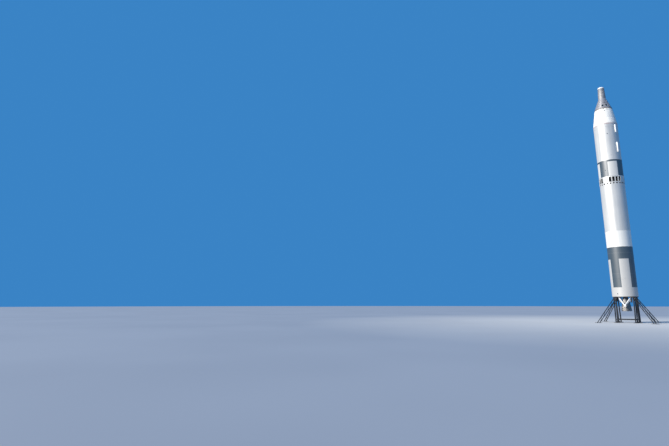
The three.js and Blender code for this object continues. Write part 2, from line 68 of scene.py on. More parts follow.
# %% Camera
CAMERA_RIGHT_OF_ROCKET = -40.08
CAMERA_IN_FRONT = 61.28
CAMERA_HEIGHT = 2.55
CAMERA_TILT = 10.42
CAMERA_AZIMUTH = -13.0
FOCAL_LENGTH = 23.6
SENSOR_WIDTH = 36.0


def at(azimuth, radius, height):
    """A point at an azimuth in degrees, a distance from the rocket's axis and a height."""
    angle = math.radians(azimuth)
    return Vector((radius * math.sin(angle), -radius * math.cos(angle), height))


distance = math.hypot(CAMERA_RIGHT_OF_ROCKET, CAMERA_IN_FRONT)
off_axis = math.degrees(math.atan2(-CAMERA_RIGHT_OF_ROCKET, CAMERA_IN_FRONT))
camera_data = bpy.data.cameras.new("camera")
camera_data.sensor_width = SENSOR_WIDTH
camera_data.lens = FOCAL_LENGTH
camera_data.clip_end = 2000.0
camera = bpy.data.objects.new("camera", camera_data)
bpy.context.scene.collection.objects.link(camera)
camera.location = at(CAMERA_AZIMUTH, distance, CAMERA_HEIGHT)
camera.rotation_euler = (math.radians(90 + CAMERA_TILT), 0, math.radians(CAMERA_AZIMUTH + off_axis))
bpy.context.scene.camera = camera
print("camera at", tuple(camera.location), "turned", CAMERA_AZIMUTH + off_axis)

# %% [markdown]
# The light comes from the front and well to the left, so the right side of every round part falls into
# bluish shade. One soft lamp that shines evenly and a plain blue sky give that without any picture of a
# sky.

# %% Light and floor
SUN_AZIMUTH = -54.0
SUN_HEIGHT = 32.0
SUN_ENERGY = 6.0
SUN_SPREAD = 22
SUN_COLOUR = (1.0, 0.955, 0.89)
SKY_COLOUR = (0.075, 0.40, 0.98, 1.0)
SKY_STRENGTH = 0.57
FLOOR_RADIUS = 420.0

bpy.context.scene.view_settings.view_transform = "Standard"
world = bpy.data.worlds.new("plain_sky")
bpy.context.scene.world = world
world.use_nodes = True
sky = world.node_tree.nodes["Background"]
sky.inputs["Color"].default_value = SKY_COLOUR
sky.inputs["Strength"].default_value = SKY_STRENGTH

sun_data = bpy.data.lights.new("key_light", "SUN")
sun_data.energy = SUN_ENERGY
sun_data.angle = math.radians(SUN_SPREAD)
sun_data.color = SUN_COLOUR
sun = bpy.data.objects.new("key_light", sun_data)
bpy.context.scene.collection.objects.link(sun)
towards_sun = at(SUN_AZIMUTH, math.cos(math.radians(SUN_HEIGHT)), math.sin(math.radians(SUN_HEIGHT)))
sun.rotation_euler = towards_sun.to_track_quat("Z", "Y").to_euler()

floor_mesh = bmesh.new()
bmesh.ops.create_circle(floor_mesh, cap_ends=True, segments=96, radius=FLOOR_RADIUS)
floor_data = bpy.data.meshes.new("floor")
floor_mesh.to_mesh(floor_data)
floor_mesh.free()
floor = bpy.data.objects.new("floor", floor_data)
bpy.context.scene.collection.objects.link(floor)
floor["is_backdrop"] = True
print("sun towards", tuple(towards_sun))

# %% [markdown]
# Most finishes here are paint on thin metal. Paint over a large skin is never one even colour: rain leaves
# faint upright streaks, and each sheet reflects a little differently. Small helpers chain shader nodes, so
# that every finish can be written as one short recipe. All of them read the object's own coordinates.

# %% Shader helpers
FINISHES = {}


def calc(tree, operation, *values):
    """A Math node. Each value is a number or a socket."""
    node = tree.nodes.new("ShaderNodeMath")
    node.operation = operation
    for socket, value in zip(node.inputs, values):
        if isinstance(value, (int, float)):
            socket.default_value = value
        else:
            tree.links.new(value, socket)
    return node.outputs["Value"]


def times(tree, first, second):
    return calc(tree, "MULTIPLY", first, second)


def plus(tree, first, second):
    return calc(tree, "ADD", first, second)


def own_place(tree):
    """The object coordinates of a surface point, and its x, y and z."""
    place = tree.nodes.new("ShaderNodeTexCoord").outputs["Object"]
    parts = tree.nodes.new("ShaderNodeSeparateXYZ")
    tree.links.new(place, parts.inputs["Vector"])
    return place, parts.outputs["X"], parts.outputs["Y"], parts.outputs["Z"]


def turn_of(tree, x, y):
    """The azimuth of a point in radians."""
    return calc(tree, "ARCTAN2", x, times(tree, y, -1.0))


def way_out(tree, x, y):
    """How far a point is from the upright axis."""
    return calc(tree, "SQRT", plus(tree, times(tree, x, x), times(tree, y, y)))


def grain(tree, place, stretch, detail=3.0):
    """Noise whose grain is as fine as stretch says along x, y and z."""
    mapping = tree.nodes.new("ShaderNodeMapping")
    mapping.inputs["Scale"].default_value = stretch
    tree.links.new(place, mapping.inputs["Vector"])
    noise = tree.nodes.new("ShaderNodeTexNoise")
    noise.inputs["Scale"].default_value = 1.0
    noise.inputs["Detail"].default_value = detail
    tree.links.new(mapping.outputs["Vector"], noise.inputs["Vector"])
    return noise.outputs["Fac"]


def spread(tree, value, low, high, to_low=0.0, to_high=1.0):
    """Stretches a value from one range to another, and holds it there."""
    node = tree.nodes.new("ShaderNodeMapRange")
    limits = (("From Min", low), ("From Max", high), ("To Min", to_low), ("To Max", to_high))
    for socket, limit in limits:
        node.inputs[socket].default_value = limit
    tree.links.new(value, node.inputs["Value"])
    return node.outputs["Result"]


def blend_colour(tree, share, first, second):
    """A colour between two. Each is three numbers or a socket."""
    node = tree.nodes.new("ShaderNodeMix")
    node.data_type = "RGBA"
    tree.links.new(share, node.inputs["Factor"])
    for socket, value in ((node.inputs[6], first), (node.inputs[7], second)):
        if isinstance(value, tuple):
            socket.default_value = (*value, 1.0)
        else:
            tree.links.new(value, socket)
    return node.outputs[2]


def raise_surface(tree, shader, height, depth):
    """Bumps the surface by a height from 0 to 1 times a depth in metres."""
    bump = tree.nodes.new("ShaderNodeBump")
    bump.inputs["Strength"].default_value = 1.0
    bump.inputs["Distance"].default_value = depth
    tree.links.new(height, bump.inputs["Height"])
    tree.links.new(bump.outputs["Normal"], shader.inputs["Normal"])


def new_finish(name, metallic=0.0, roughness=0.5):
    """A material's node tree and its shader."""
    material = bpy.data.materials.new(name)
    material.use_nodes = True
    tree = material.node_tree
    shader = tree.nodes["Principled BSDF"]
    shader.inputs["Metallic"].default_value = metallic
    shader.inputs["Roughness"].default_value = roughness
    FINISHES[name] = material
    return tree, shader


def weathered(name, dark, light, stretch, metallic, rough, bump):
    """A finish that wanders between two colours and two roughnesses with one noise."""
    tree, shader = new_finish(name, metallic)
    place, x, y, z = own_place(tree)
    noise = grain(tree, place, stretch)
    share = spread(tree, noise, 0.3, 0.7)
    tree.links.new(blend_colour(tree, share, dark, light), shader.inputs["Base Color"])
    tree.links.new(spread(tree, noise, 0.3, 0.7, *rough), shader.inputs["Roughness"])
    if bump:
        raise_surface(tree, shader, noise, bump)


print("shader helpers ready")

# %% [markdown]
# The skin's paint carries the rocket's best-known pattern. Round the bottom and round the foot of the
# second stage, upright dark and white panels alternate, eight to a turn, so that a film shows the rocket
# roll. A dark ring closes each set at its top. The tanks between are silver-white and glossier. One finish
# for the whole skin works out from the height and the azimuth which paint a point has, so the pattern runs
# on across the joints.

# %% Skin finish
BODY_RADIUS = 1.524
PANELS_ROUND = 8
LOWER_PANELS = (4.74, 8.62)
LOWER_RING_TOP = 10.29
UPPER_PANELS = (20.43, 22.55)
UPPER_RING_TOP = 22.80
SILVER_HEIGHTS = ((12.53, 20.43), (22.80, 28.34))
SEAM_HEIGHTS = (6.6, 9.45, 11.4, 14.3, 16.1, 17.9, 24.4, 26.1, 27.8)
SEAM_WIDTH = 0.012
INSIDE_RADIUS = 1.490
PORT_FLOOR = 18.0
WHITE_PAINT = (0.77, 0.745, 0.67)
WHITE_STREAK = (0.67, 0.65, 0.59)
DIMMED_WHITE = (0.45, 0.435, 0.40)
SILVER_PAINT = (0.63, 0.61, 0.56)
SILVER_STREAK = (0.53, 0.515, 0.475)
DARK_PAINT = (0.028, 0.044, 0.052)
DARK_STREAK = (0.048, 0.066, 0.075)
# Inside the skin the colour is darker, as painted shade, and paler behind the blast ports, as painted light
# coming in through them.
INSIDE_PAINTED_SHADE = (0.20, 0.21, 0.19)
PORT_PAINTED_LIGHT = (0.60, 0.62, 0.60)


def between(tree, value, low, high):
    """1 where a value lies between two limits, and 0 elsewhere."""
    return times(tree, calc(tree, "GREATER_THAN", value, low), calc(tree, "LESS_THAN", value, high))


tree, shader = new_finish("skin_paint")
place, x, y, z = own_place(tree)
turned_by = times(tree, turn_of(tree, x, y), PANELS_ROUND / math.tau)
sector = calc(tree, "FLOOR", plus(tree, turned_by, 0.5))
odd = calc(tree, "FLOORED_MODULO", sector, 2.0)
panels = times(tree, odd, plus(tree, between(tree, z, *LOWER_PANELS), between(tree, z, *UPPER_PANELS)))
lower_ring = between(tree, z, LOWER_PANELS[1], LOWER_RING_TOP)
rings = plus(tree, lower_ring, between(tree, z, UPPER_PANELS[1], UPPER_RING_TOP))
dark = plus(tree, panels, rings)
silver = plus(tree, *[between(tree, z, *limits) for limits in SILVER_HEIGHTS])
streaks = grain(tree, place, (2.6, 2.6, 0.16), 4.0)
patches = grain(tree, place, (0.5, 0.5, 0.7), 2.0)
streak_share = spread(tree, plus(tree, streaks, times(tree, patches, 0.6)), 0.55, 1.05)
white_colour = blend_colour(tree, streak_share, WHITE_STREAK, WHITE_PAINT)
silver_colour = blend_colour(tree, streak_share, SILVER_STREAK, SILVER_PAINT)
dark_colour = blend_colour(tree, streak_share, DARK_STREAK, DARK_PAINT)
# The white is dimmer below about 9 m and, more weakly, in the white panels of the upper band.
dimmed_share = plus(tree, spread(tree, z, 9.6, 8.8), times(tree, between(tree, z, *UPPER_PANELS), 0.6))
dimmed_white = blend_colour(tree, dimmed_share, white_colour, DIMMED_WHITE)
light_colour = blend_colour(tree, silver, dimmed_white, silver_colour)
painted = blend_colour(tree, dark, light_colour, dark_colour)
inside = calc(tree, "LESS_THAN", way_out(tree, x, y), INSIDE_RADIUS)
seams = None
for height in SEAM_HEIGHTS:
    seam = between(tree, z, height - SEAM_WIDTH / 2, height + SEAM_WIDTH / 2)
    seams = seam if seams is None else plus(tree, seams, seam)
upright = calc(tree, "FLOORED_MODULO", plus(tree, turned_by, 0.25), 2.0)
upright_seam = calc(tree, "LESS_THAN", upright, SEAM_WIDTH / BODY_RADIUS * PANELS_ROUND / math.tau)
seam_share = times(tree, calc(tree, "MAXIMUM", seams, times(tree, upright_seam, silver)), 0.35)
lined = blend_colour(tree, seam_share, painted, SILVER_STREAK)
# Inside the skin: painted shade, and painted light behind the ports.
inside_light_and_shade = blend_colour(tree, between(tree, z, PORT_FLOOR, UPPER_RING_TOP), INSIDE_PAINTED_SHADE, PORT_PAINTED_LIGHT)
tree.links.new(blend_colour(tree, inside, lined, inside_light_and_shade), shader.inputs["Base Color"])
outside_silver = times(tree, silver, calc(tree, "SUBTRACT", 1.0, inside))
tree.links.new(times(tree, outside_silver, 0.25), shader.inputs["Metallic"])
shader.inputs["Specular IOR Level"].default_value = 1.0
shader.inputs["IOR"].default_value = 1.6
plain_rough = spread(tree, streaks, 0.3, 0.7, 0.38, 0.46)
silver_rough = spread(tree, streaks, 0.3, 0.7, 0.40, 0.50)
rough_share = tree.nodes.new("ShaderNodeMix")
for socket, value in (("Factor", outside_silver), ("A", plain_rough), ("B", silver_rough)):
    tree.links.new(value, rough_share.inputs[socket])
tree.links.new(rough_share.outputs["Result"], shader.inputs["Roughness"])
ripple = grain(tree, place, (1.2, 1.2, 0.8), 1.0)
raise_surface(tree, shader, ripple, 0.003)
print("skin finish with", len(tree.nodes), "nodes")

# %% [markdown]
# The other finishes are simpler. The capsule's metal is dark and unevenly heated, the stand is black paint
# that has gone a little grey outdoors, and the struts are plain white paint. The engines are dull steel,
# with fine flutes round each bell where its cooling tubes lie side by side.

# %% Other finishes
# The columns are the name, the darker and the lighter colour, how fine the grain is along x, y and z, how
# metallic it is, the least and the greatest roughness, and the height of its bumps.
PLAIN_FINISHES = (
    ("capsule_metal", (0.20, 0.195, 0.20), (0.42, 0.405, 0.41), (7, 7, 5), 0.4, (0.42, 0.52), 0.002),
    ("nose_metal", (0.22, 0.213, 0.21), (0.37, 0.36, 0.355), (6, 6, 10), 0.4, (0.52, 0.62), 0.001),
    ("stand_paint", (0.012, 0.013, 0.015), (0.035, 0.036, 0.038), (5, 5, 3), 0.0, (0.38, 0.6), 0.001),
    ("frame_paint", (0.62, 0.63, 0.62), (0.78, 0.78, 0.76), (6, 6, 3), 0.0, (0.4, 0.55), 0),
    ("adapter_paint", (0.71, 0.69, 0.63), (0.81, 0.78, 0.705), (2.2, 2.2, 0.6), 0.0, (0.42, 0.55), 0),
    ("engine_steel", (0.13, 0.12, 0.115), (0.34, 0.33, 0.32), (7, 7, 2.5), 0.7, (0.34, 0.55), 0.001),
    ("bolt_steel", (0.05, 0.05, 0.052), (0.16, 0.155, 0.15), (25, 25, 25), 0.5, (0.4, 0.6), 0),
    ("shield_resin", (0.10, 0.065, 0.04), (0.2, 0.14, 0.09), (30, 30, 30), 0.0, (0.7, 0.9), 0.002),
    ("seat_cloth", (0.16, 0.17, 0.16), (0.24, 0.25, 0.24), (160, 160, 160), 0.0, (0.8, 0.95), 0.001),
    ("panel_paint", (0.28, 0.3, 0.31), (0.36, 0.38, 0.39), (12, 12, 12), 0.0, (0.5, 0.65), 0),
    ("skirt_inside_shade", (0.05, 0.06, 0.05), (0.10, 0.11, 0.10), (5, 5, 2), 0.0, (0.6, 0.8), 0),
    ("port_grey", (0.07, 0.08, 0.09), (0.16, 0.17, 0.18), (14, 14, 14), 0.3, (0.4, 0.6), 0),
    ("painted_hole_shade", (0.012, 0.013, 0.015), (0.03, 0.03, 0.032), (8, 8, 8), 0.0, (0.7, 0.9), 0),
    ("cover_paint", (0.78, 0.78, 0.75), (0.88, 0.87, 0.84), (5, 5, 2), 0.0, (0.35, 0.45), 0),
    ("sealant_paint", (0.42, 0.31, 0.285), (0.58, 0.45, 0.415), (3, 3, 6), 0.0, (0.5, 0.6), 0),
    ("scorched_paint", (0.22, 0.17, 0.13), (0.40, 0.34, 0.28), (14, 14, 14), 0.0, (0.5, 0.7), 0),
    ("seat_shell_paint", (0.30, 0.31, 0.30), (0.40, 0.41, 0.40), (12, 12, 12), 0.2, (0.45, 0.6), 0),
    ("rim_metal", (0.40, 0.39, 0.38), (0.58, 0.57, 0.55), (14, 14, 14), 0.4, (0.4, 0.55), 0),
    ("strap_weave", (0.34, 0.33, 0.28), (0.46, 0.44, 0.38), (300, 300, 300), 0.0, (0.75, 0.9), 0.0006),
    ("dial_face", (0.015, 0.016, 0.018), (0.03, 0.031, 0.033), (20, 20, 20), 0.0, (0.25, 0.4), 0),
    ("dial_mark", (0.62, 0.62, 0.58), (0.74, 0.74, 0.70), (30, 30, 30), 0.0, (0.5, 0.6), 0),
)
for row in PLAIN_FINISHES:
    weathered(*row)


def tubed_bell(name, centre, tubes):
    """Dull steel with fine flutes round an upright axis."""
    tree, shader = new_finish(name, 0.7)
    place, x, y, z = own_place(tree)
    from_x = calc(tree, "SUBTRACT", x, centre.x)
    from_y = calc(tree, "SUBTRACT", y, centre.y)
    wave = calc(tree, "SINE", times(tree, turn_of(tree, from_x, from_y), tubes))
    flute = times(tree, plus(tree, wave, 1.0), 0.5)
    noise = spread(tree, grain(tree, place, (6, 6, 2.2)), 0.3, 0.7)
    steel = blend_colour(tree, noise, (0.17, 0.155, 0.14), (0.38, 0.365, 0.34))
    # The steel is darker in the bottom of each flute: painted shade in the grooves between the tubes.
    groove_shaded = blend_colour(tree, spread(tree, flute, 0.0, 0.5), (0.16, 0.15, 0.14), steel)
    tree.links.new(groove_shaded, shader.inputs["Base Color"])
    tree.links.new(spread(tree, noise, 0.0, 1.0, 0.32, 0.52), shader.inputs["Roughness"])
    raise_surface(tree, shader, flute, 0.004)


GROUND_TURN = -18.0
ENGINE_OFF_AXIS = 0.8
FRONT_ENGINE = at(GROUND_TURN, ENGINE_OFF_AXIS, 0)
REAR_ENGINE = at(GROUND_TURN + 180, ENGINE_OFF_AXIS, 0)
UPPER_ENGINE = Vector((0, 0, 0))
tubed_bell("bell_front_steel", FRONT_ENGINE, 120)
tubed_bell("bell_rear_steel", REAR_ENGINE, 120)
tubed_bell("bell_upper_steel", UPPER_ENGINE, 140)

tree, shader = new_finish("window_glass", 0.0, 0.08)
place, x, y, z = own_place(tree)
tint = spread(tree, grain(tree, place, (4, 4, 4)), 0.3, 0.7)
tree.links.new(blend_colour(tree, tint, (0.02, 0.03, 0.04), (0.05, 0.07, 0.09)), shader.inputs["Base Color"])
shader.inputs["Alpha"].default_value = 0.55

tree, shader = new_finish("pale_floor", 0.0, 0.85)
place, x, y, z = own_place(tree)
wear = spread(tree, grain(tree, place, (0.06, 0.06, 0.06), 2.0), 0.35, 0.65)
far_off = spread(tree, way_out(tree, x, y), 10.0, 45.0)
far_floor = blend_colour(tree, wear, (0.235, 0.265, 0.31), (0.255, 0.285, 0.33))
near_floor = blend_colour(tree, wear, (0.46, 0.455, 0.44), (0.49, 0.485, 0.47))
tree.links.new(blend_colour(tree, far_off, near_floor, far_floor), shader.inputs["Base Color"])
floor_data.materials.append(FINISHES["pale_floor"])
print("finishes:", list(FINISHES))

# %% [markdown]
# A round part is a profile turned about an upright axis. Blender's spin does that, and with merging on, the
# seam closes. A few more helpers add rods, boxes and rings to a mesh, and the last ones turn a finished
# mesh into a piece: smooth where faces meet gently, sharp where they meet hard, riding on its body.

# %% Shape helpers
ROUND_STEPS = 96
TRIANGLES = {}


def up(rise):
    return Vector((0, 0, rise))


def beside(azimuth, radius, across, height):
    """A point at an azimuth, a distance out and a height, then moved across to its right."""
    return at(azimuth, radius, height) + at(azimuth + 90, across, 0)


def around(count, start=0.0):
    """Evenly spaced azimuths."""
    return [start + 360.0 * step / count for step in range(count)]


def spin_line(mesh, points, profile, centre, axis, steps):
    """Turns a line of points. It is closed to a ring first where its profile stays off the axis."""
    corners = [mesh.verts.new(point) for point in points]
    lines = [mesh.edges.new(pair) for pair in pairwise(corners)]
    if profile[0][0] > 0 and profile[-1][0] > 0:
        lines.append(mesh.edges.new((corners[-1], corners[0])))
    bmesh.ops.spin(
        mesh, geom=corners + lines, cent=centre, axis=axis, dvec=(0, 0, 0), angle=math.tau, steps=steps,
        use_merge=True,
    )


def turn(mesh, profile, x=0.0, y=0.0, steps=ROUND_STEPS):
    """Turns a profile of (radius, height) pairs about the upright axis through x, y."""
    spin_line(mesh, [(x + r, y, z) for r, z in profile], profile, (x, y, 0), (0, 0, 1), steps)


def turn_about(mesh, origin, axis, profile, steps=24):
    """Turns a profile of (radius, distance along the axis) pairs about any axis."""
    axis = Vector(axis).normalized()
    side = axis.cross(up(1))
    side = side.normalized() if side.length > 0.01 else Vector((1, 0, 0))
    points = [Vector(origin) + side * r + axis * along for r, along in profile]
    spin_line(mesh, points, profile, origin, axis, steps)


def add_rod(mesh, start, end, radius, sides=16):
    """A round rod between two points."""
    start, end = Vector(start), Vector(end)
    along = end - start
    place = Matrix.Translation((start + end) / 2) @ along.to_track_quat("Z", "Y").to_matrix().to_4x4()
    bmesh.ops.create_cone(
        mesh, cap_ends=True, segments=sides, radius1=radius, radius2=radius, depth=along.length, matrix=place
    )


def add_stud(mesh, foot, reach, radius, sides=6):
    """A rod from a foot along a reach. With six sides it is a bolt's head."""
    add_rod(mesh, foot, foot + reach, radius, sides)


def round_edges(mesh, edges, radius, steps):
    bmesh.ops.bevel(
        mesh, geom=list(edges), offset=radius, affect="EDGES", segments=steps, profile=0.5, material=-1,
        clamp_overlap=True,
    )


def add_box(mesh, centre, size, azimuth, edge):
    """A box with rounded edges, turned to an azimuth: its size across, outwards and upwards."""
    turned = Matrix.Rotation(math.radians(azimuth), 4, "Z")
    place = Matrix.Translation(centre) @ turned @ Matrix.Diagonal((*size, 1.0))
    corners = bmesh.ops.create_cube(mesh, size=1.0, matrix=place)["verts"]
    round_edges(mesh, {e for v in corners for e in v.link_edges}, edge, 2)


def add_ball(mesh, centre, radius, segments=12):
    bmesh.ops.create_uvsphere(
        mesh, u_segments=segments, v_segments=segments // 2, radius=radius, matrix=Matrix.Translation(centre)
    )


def add_hoop(mesh, radius, height, wide, proud, x=0.0, y=0.0, steps=ROUND_STEPS):
    """A low ring round an upright axis, sunk a little into what it lies on."""
    foot, shoulder, top = radius - 0.004, radius + proud * 0.7, radius + proud
    low_side = [(foot, height - wide / 2), (shoulder, height - wide / 2), (top, height - wide / 4)]
    high_side = [(top, height + wide / 4), (shoulder, height + wide / 2), (foot, height + wide / 2)]
    turn(mesh, low_side + high_side, x, y, steps)


def add_hexagons(mesh, azimuths, radius, height, size, tall, outwards=True, centre=Vector((0, 0, 0))):
    """Bolt heads round an upright axis, pointing outwards or up."""
    for azimuth in azimuths:
        reach = at(azimuth, tall, 0) if outwards else up(tall)
        add_stud(mesh, at(azimuth, radius, height) + centre, reach, size)


def finish_piece(mesh, name, finish, nodes=(), body="vehicle", sharp=34):
    """Makes a piece of a mesh that is in its place in the rocket's frame."""
    bmesh.ops.remove_doubles(mesh, verts=mesh.verts, dist=0.00002)
    bmesh.ops.recalc_face_normals(mesh, faces=mesh.faces)
    if mesh.calc_volume(signed=True) < 0:
        bmesh.ops.reverse_faces(mesh, faces=mesh.faces)
    limit = math.radians(sharp)
    for face in mesh.faces:
        face.smooth = True
    for edge in mesh.edges:
        edge.smooth = len(edge.link_faces) == 2 and edge.calc_face_angle(0.0) < limit
    data = bpy.data.meshes.new(name)
    mesh.to_mesh(data)
    mesh.free()
    data.materials.append(FINISHES[finish])
    piece = bpy.data.objects.new(name, data)
    bpy.context.scene.collection.objects.link(piece)
    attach(piece, body)
    if nodes:
        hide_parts(*nodes)
    TRIANGLES[name] = sum(len(polygon.vertices) - 2 for polygon in data.polygons)
    print("piece", name, "with", TRIANGLES[name], "triangles")
    return piece


def turned_piece(profile, name, finish, nodes):
    """A piece whose profile is turned about the rocket's axis."""
    mesh = bmesh.new()
    turn(mesh, profile)
    finish_piece(mesh, name, finish, nodes)


def copy_of(node):
    """A mesh like a solid of the model, its corners joined, for smooth shading."""
    mesh = bmesh.new()
    mesh.from_mesh(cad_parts[node].data)
    bmesh.ops.remove_doubles(mesh, verts=mesh.verts, dist=0.00005)
    return mesh


def copied_piece(node, suffix, finish, body="vehicle", sharp=34):
    """A piece that is a joined copy of a solid of the model."""
    finish_piece(copy_of(node), node + suffix, finish, [node], body, sharp)


def paint_node(node, finish):
    """Gives a solid of the model that already has the right shape its finish."""
    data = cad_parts[node].data
    data.materials.clear()
    data.materials.append(FINISHES[finish])
    print("solid", node, "finished with", finish)


# %% [markdown]
# The first stage's skin is turned in one go for each section. Where two sections meet, the real joint is a
# row of bolts on a flange that stands out by a few millimetres, so each profile ends in a low bead.

# %% First-stage skin
SKIN_WALL = 0.040
INNER_RADIUS = BODY_RADIUS - SKIN_WALL
DOME_RADIUS = INNER_RADIUS - 0.015
SKIRT_BOTTOM = 3.50
SKIRT_TOP = 5.90
LOWER_TANK_TOP = 10.29
BAND_TOP = 12.53
OXIDISER_TOP = 19.10
RIM_WIDTH = 0.06
BEAD = 0.006
GAP = 0.0005


def beads(low, high, wide=0.05):
    """The outer line of a section from its foot to its head, with a low bead at both ends."""
    r = BODY_RADIUS
    foot = [(r + BEAD, low + GAP), (r + BEAD, low + wide), (r, low + wide + 0.006)]
    return [*foot, (r, high - wide - 0.006), (r + BEAD, high - wide), (r + BEAD, high - GAP)]


def dome_line(rim, tip, steps=14):
    """A dome's line from the axis to its rim."""
    line = [(0.0, tip)]
    for step in range(1, steps + 1):
        angle = math.pi / 2 * step / steps
        line.append((DOME_RADIUS * math.sin(angle), rim + (tip - rim) * math.cos(angle)))
    return line


def capped(low, high, line):
    """A section's outer line, closed by flat ends that leave a small gap to the next sections."""
    return [(0.0, low + GAP), *line, (0.0, high - GAP)]


rim = RIM_WIDTH
line = [*beads(SKIRT_BOTTOM, SKIRT_TOP), (INNER_RADIUS, SKIRT_TOP - GAP), (INNER_RADIUS, SKIRT_BOTTOM + rim)]
line += [(INNER_RADIUS - rim, SKIRT_BOTTOM + rim), (INNER_RADIUS - rim, SKIRT_BOTTOM + GAP)]
turned_piece(line, "skirt_skin", "skin_paint", ["aft_skirt"])

line = [*dome_line(SKIRT_TOP, 5.25), *beads(SKIRT_TOP, LOWER_TANK_TOP), (0.0, LOWER_TANK_TOP - GAP)]
turned_piece(line, "fuel_tank_skin", "skin_paint", ["fuel_tank"])

line = capped(LOWER_TANK_TOP, BAND_TOP, beads(LOWER_TANK_TOP, BAND_TOP))
turned_piece(line, "between_tanks_skin", "skin_paint", ["between_tanks_band"])

line = [(0.0, BAND_TOP + GAP), *beads(BAND_TOP, OXIDISER_TOP), *reversed(dome_line(OXIDISER_TOP, 19.64))]
turned_piece(line, "oxidiser_tank_skin", "skin_paint", ["oxidiser_tank"])

# %% [markdown]
# Each joint between two sections is a circle of bolts. At this size one bolt head is a hexagon of a dozen
# faces, so hundreds of them cost little, and they show how big the rocket is when the view is close. Inside
# the open skirt, upright stringers carry the load down to the stand. They show from below.

# %% Joint bolts and skirt stringers
ADAPTER_BOTTOM = 28.34
BOLTED_JOINTS = (5.9, 10.29, 12.53, 19.10, 20.43, 22.80, 27.80, 28.34)
BOLTS_ROUND = 72
BOLT_OFFSET = 0.026
STRINGERS_ROUND = 48
FRAME_CLEARANCE = 9

mesh = bmesh.new()
for joint, rise in product(BOLTED_JOINTS, (-BOLT_OFFSET, BOLT_OFFSET)):
    if joint + rise < ADAPTER_BOTTOM:
        add_hexagons(mesh, around(BOLTS_ROUND, 2.5), BODY_RADIUS + BEAD - 0.004, joint + rise, 0.011, 0.013)
finish_piece(mesh, "joint_bolts", "skin_paint")

mesh = bmesh.new()
for azimuth in around(STRINGERS_ROUND, 3.75):
    off_frame = abs((azimuth - GROUND_TURN + 45) % 90 - 45)
    if off_frame > FRAME_CLEARANCE:
        add_box(mesh, at(azimuth, INNER_RADIUS - 0.014, 4.70), (0.035, 0.032, 2.25), azimuth, 0.003)
low_side, high_side = INNER_RADIUS - 0.05, INNER_RADIUS + 0.002
for foot in (4.1, 5.3):
    turn(mesh, [(low_side, foot), (high_side, foot), (high_side, foot + 0.04), (low_side, foot + 0.04)])
# The stringers are dark grey: painted shade inside the open skirt.
finish_piece(mesh, "skirt_stringers", "skirt_inside_shade")

# %% [markdown]
# A few small things break the plain skin where the photograph shows a dark or a faint mark: drain and
# filling ports behind round plates, and access doors.

# %% Ports and doors in the skin
ROUND_PLATES = (
    ("drain_port", -46.0, 3.88, 0.075),
    ("panel_port", -37.0, 21.34, 0.085),
    ("upper_fill_port", -8.0, 26.72, 0.07),
)

for name, azimuth, height, radius in ROUND_PLATES:
    mesh = bmesh.new()
    for turned in (azimuth, azimuth + 180):
        foot = at(turned, BODY_RADIUS - 0.02, height)
        add_stud(mesh, foot, at(turned, 0.030, 0), radius, 24)
        add_stud(mesh, foot, at(turned, 0.036, 0), radius * 0.55, 24)
        for step in range(8):
            angle = math.tau * step / 8
            place = at(turned + 90, radius * 0.8 * math.cos(angle), radius * 0.8 * math.sin(angle))
            add_stud(mesh, foot + place, at(turned, 0.036, 0), 0.007)
    finish_piece(mesh, name + "_plates", "port_grey")

# The columns are a door's azimuth, height, width and length.
DOORS = (
    (-5.0, 23.53, 0.34, 0.11),
    (98.0, 11.3, 0.45, 0.6),
    (98.0, 4.6, 0.5, 0.7),
    (188.0, 27.1, 0.42, 0.5),
    (262.0, 19.35, 0.4, 0.3),
)
SCREW_INSET = 0.025
mesh = bmesh.new()
for azimuth, height, wide, tall in DOORS:
    add_box(mesh, at(azimuth, BODY_RADIUS - 0.012, height), (wide, 0.034, tall), azimuth, 0.006)
    for side, row in product((-1, 1), (-1, 0, 1)):
        across, rise = side * (wide / 2 - SCREW_INSET), row * (tall / 2 - SCREW_INSET)
        add_stud(mesh, beside(azimuth, BODY_RADIUS, across, height + rise), at(azimuth, 0.009, 0), 0.008)
finish_piece(mesh, "access_doors", "skin_paint")

# %% [markdown]
# The interstage is pierced: sixteen blast ports let the second stage's flame out before the stages part,
# and a row of small round holes runs below them. The solid model has those openings cut already, so its
# mesh is copied, joined and shaded smooth, and each port gets a thin raised frame. Each round hole has a
# collar round its edge and a disc set a little way in, both near black: painted shade in the hole.

# %% Interstage
INTERSTAGE_TOP = 20.43
PORT_LOW = 19.57
PORT_HIGH = 20.27
PORT_WIDTH = 0.29
PORT_OFFSETS = (-19.25, -3.75, 11.75, 27.25)
FRAME_WIDTH = 0.024
FRAME_DEEP = 0.028

copied_piece("interstage", "_skin", "skin_paint", sharp=20)

mesh = bmesh.new()
half_frame = FRAME_WIDTH / 2
post = (FRAME_WIDTH, FRAME_DEEP, PORT_HIGH - PORT_LOW + 2 * FRAME_WIDTH)
for side, offset in product((0, 90, 180, 270), PORT_OFFSETS):
    azimuth = side + offset
    for hand in (-1, 1):
        across = hand * (PORT_WIDTH / 2 + half_frame)
        place = beside(azimuth, BODY_RADIUS - 0.006, across, (PORT_LOW + PORT_HIGH) / 2)
        add_box(mesh, place, post, azimuth, 0.003)
    for height in (PORT_LOW - half_frame, PORT_HIGH + half_frame):
        lintel = (PORT_WIDTH, FRAME_DEEP, FRAME_WIDTH)
        add_box(mesh, at(azimuth, BODY_RADIUS - 0.004, height), lintel, azimuth, 0.003)
finish_piece(mesh, "port_frames", "skin_paint")

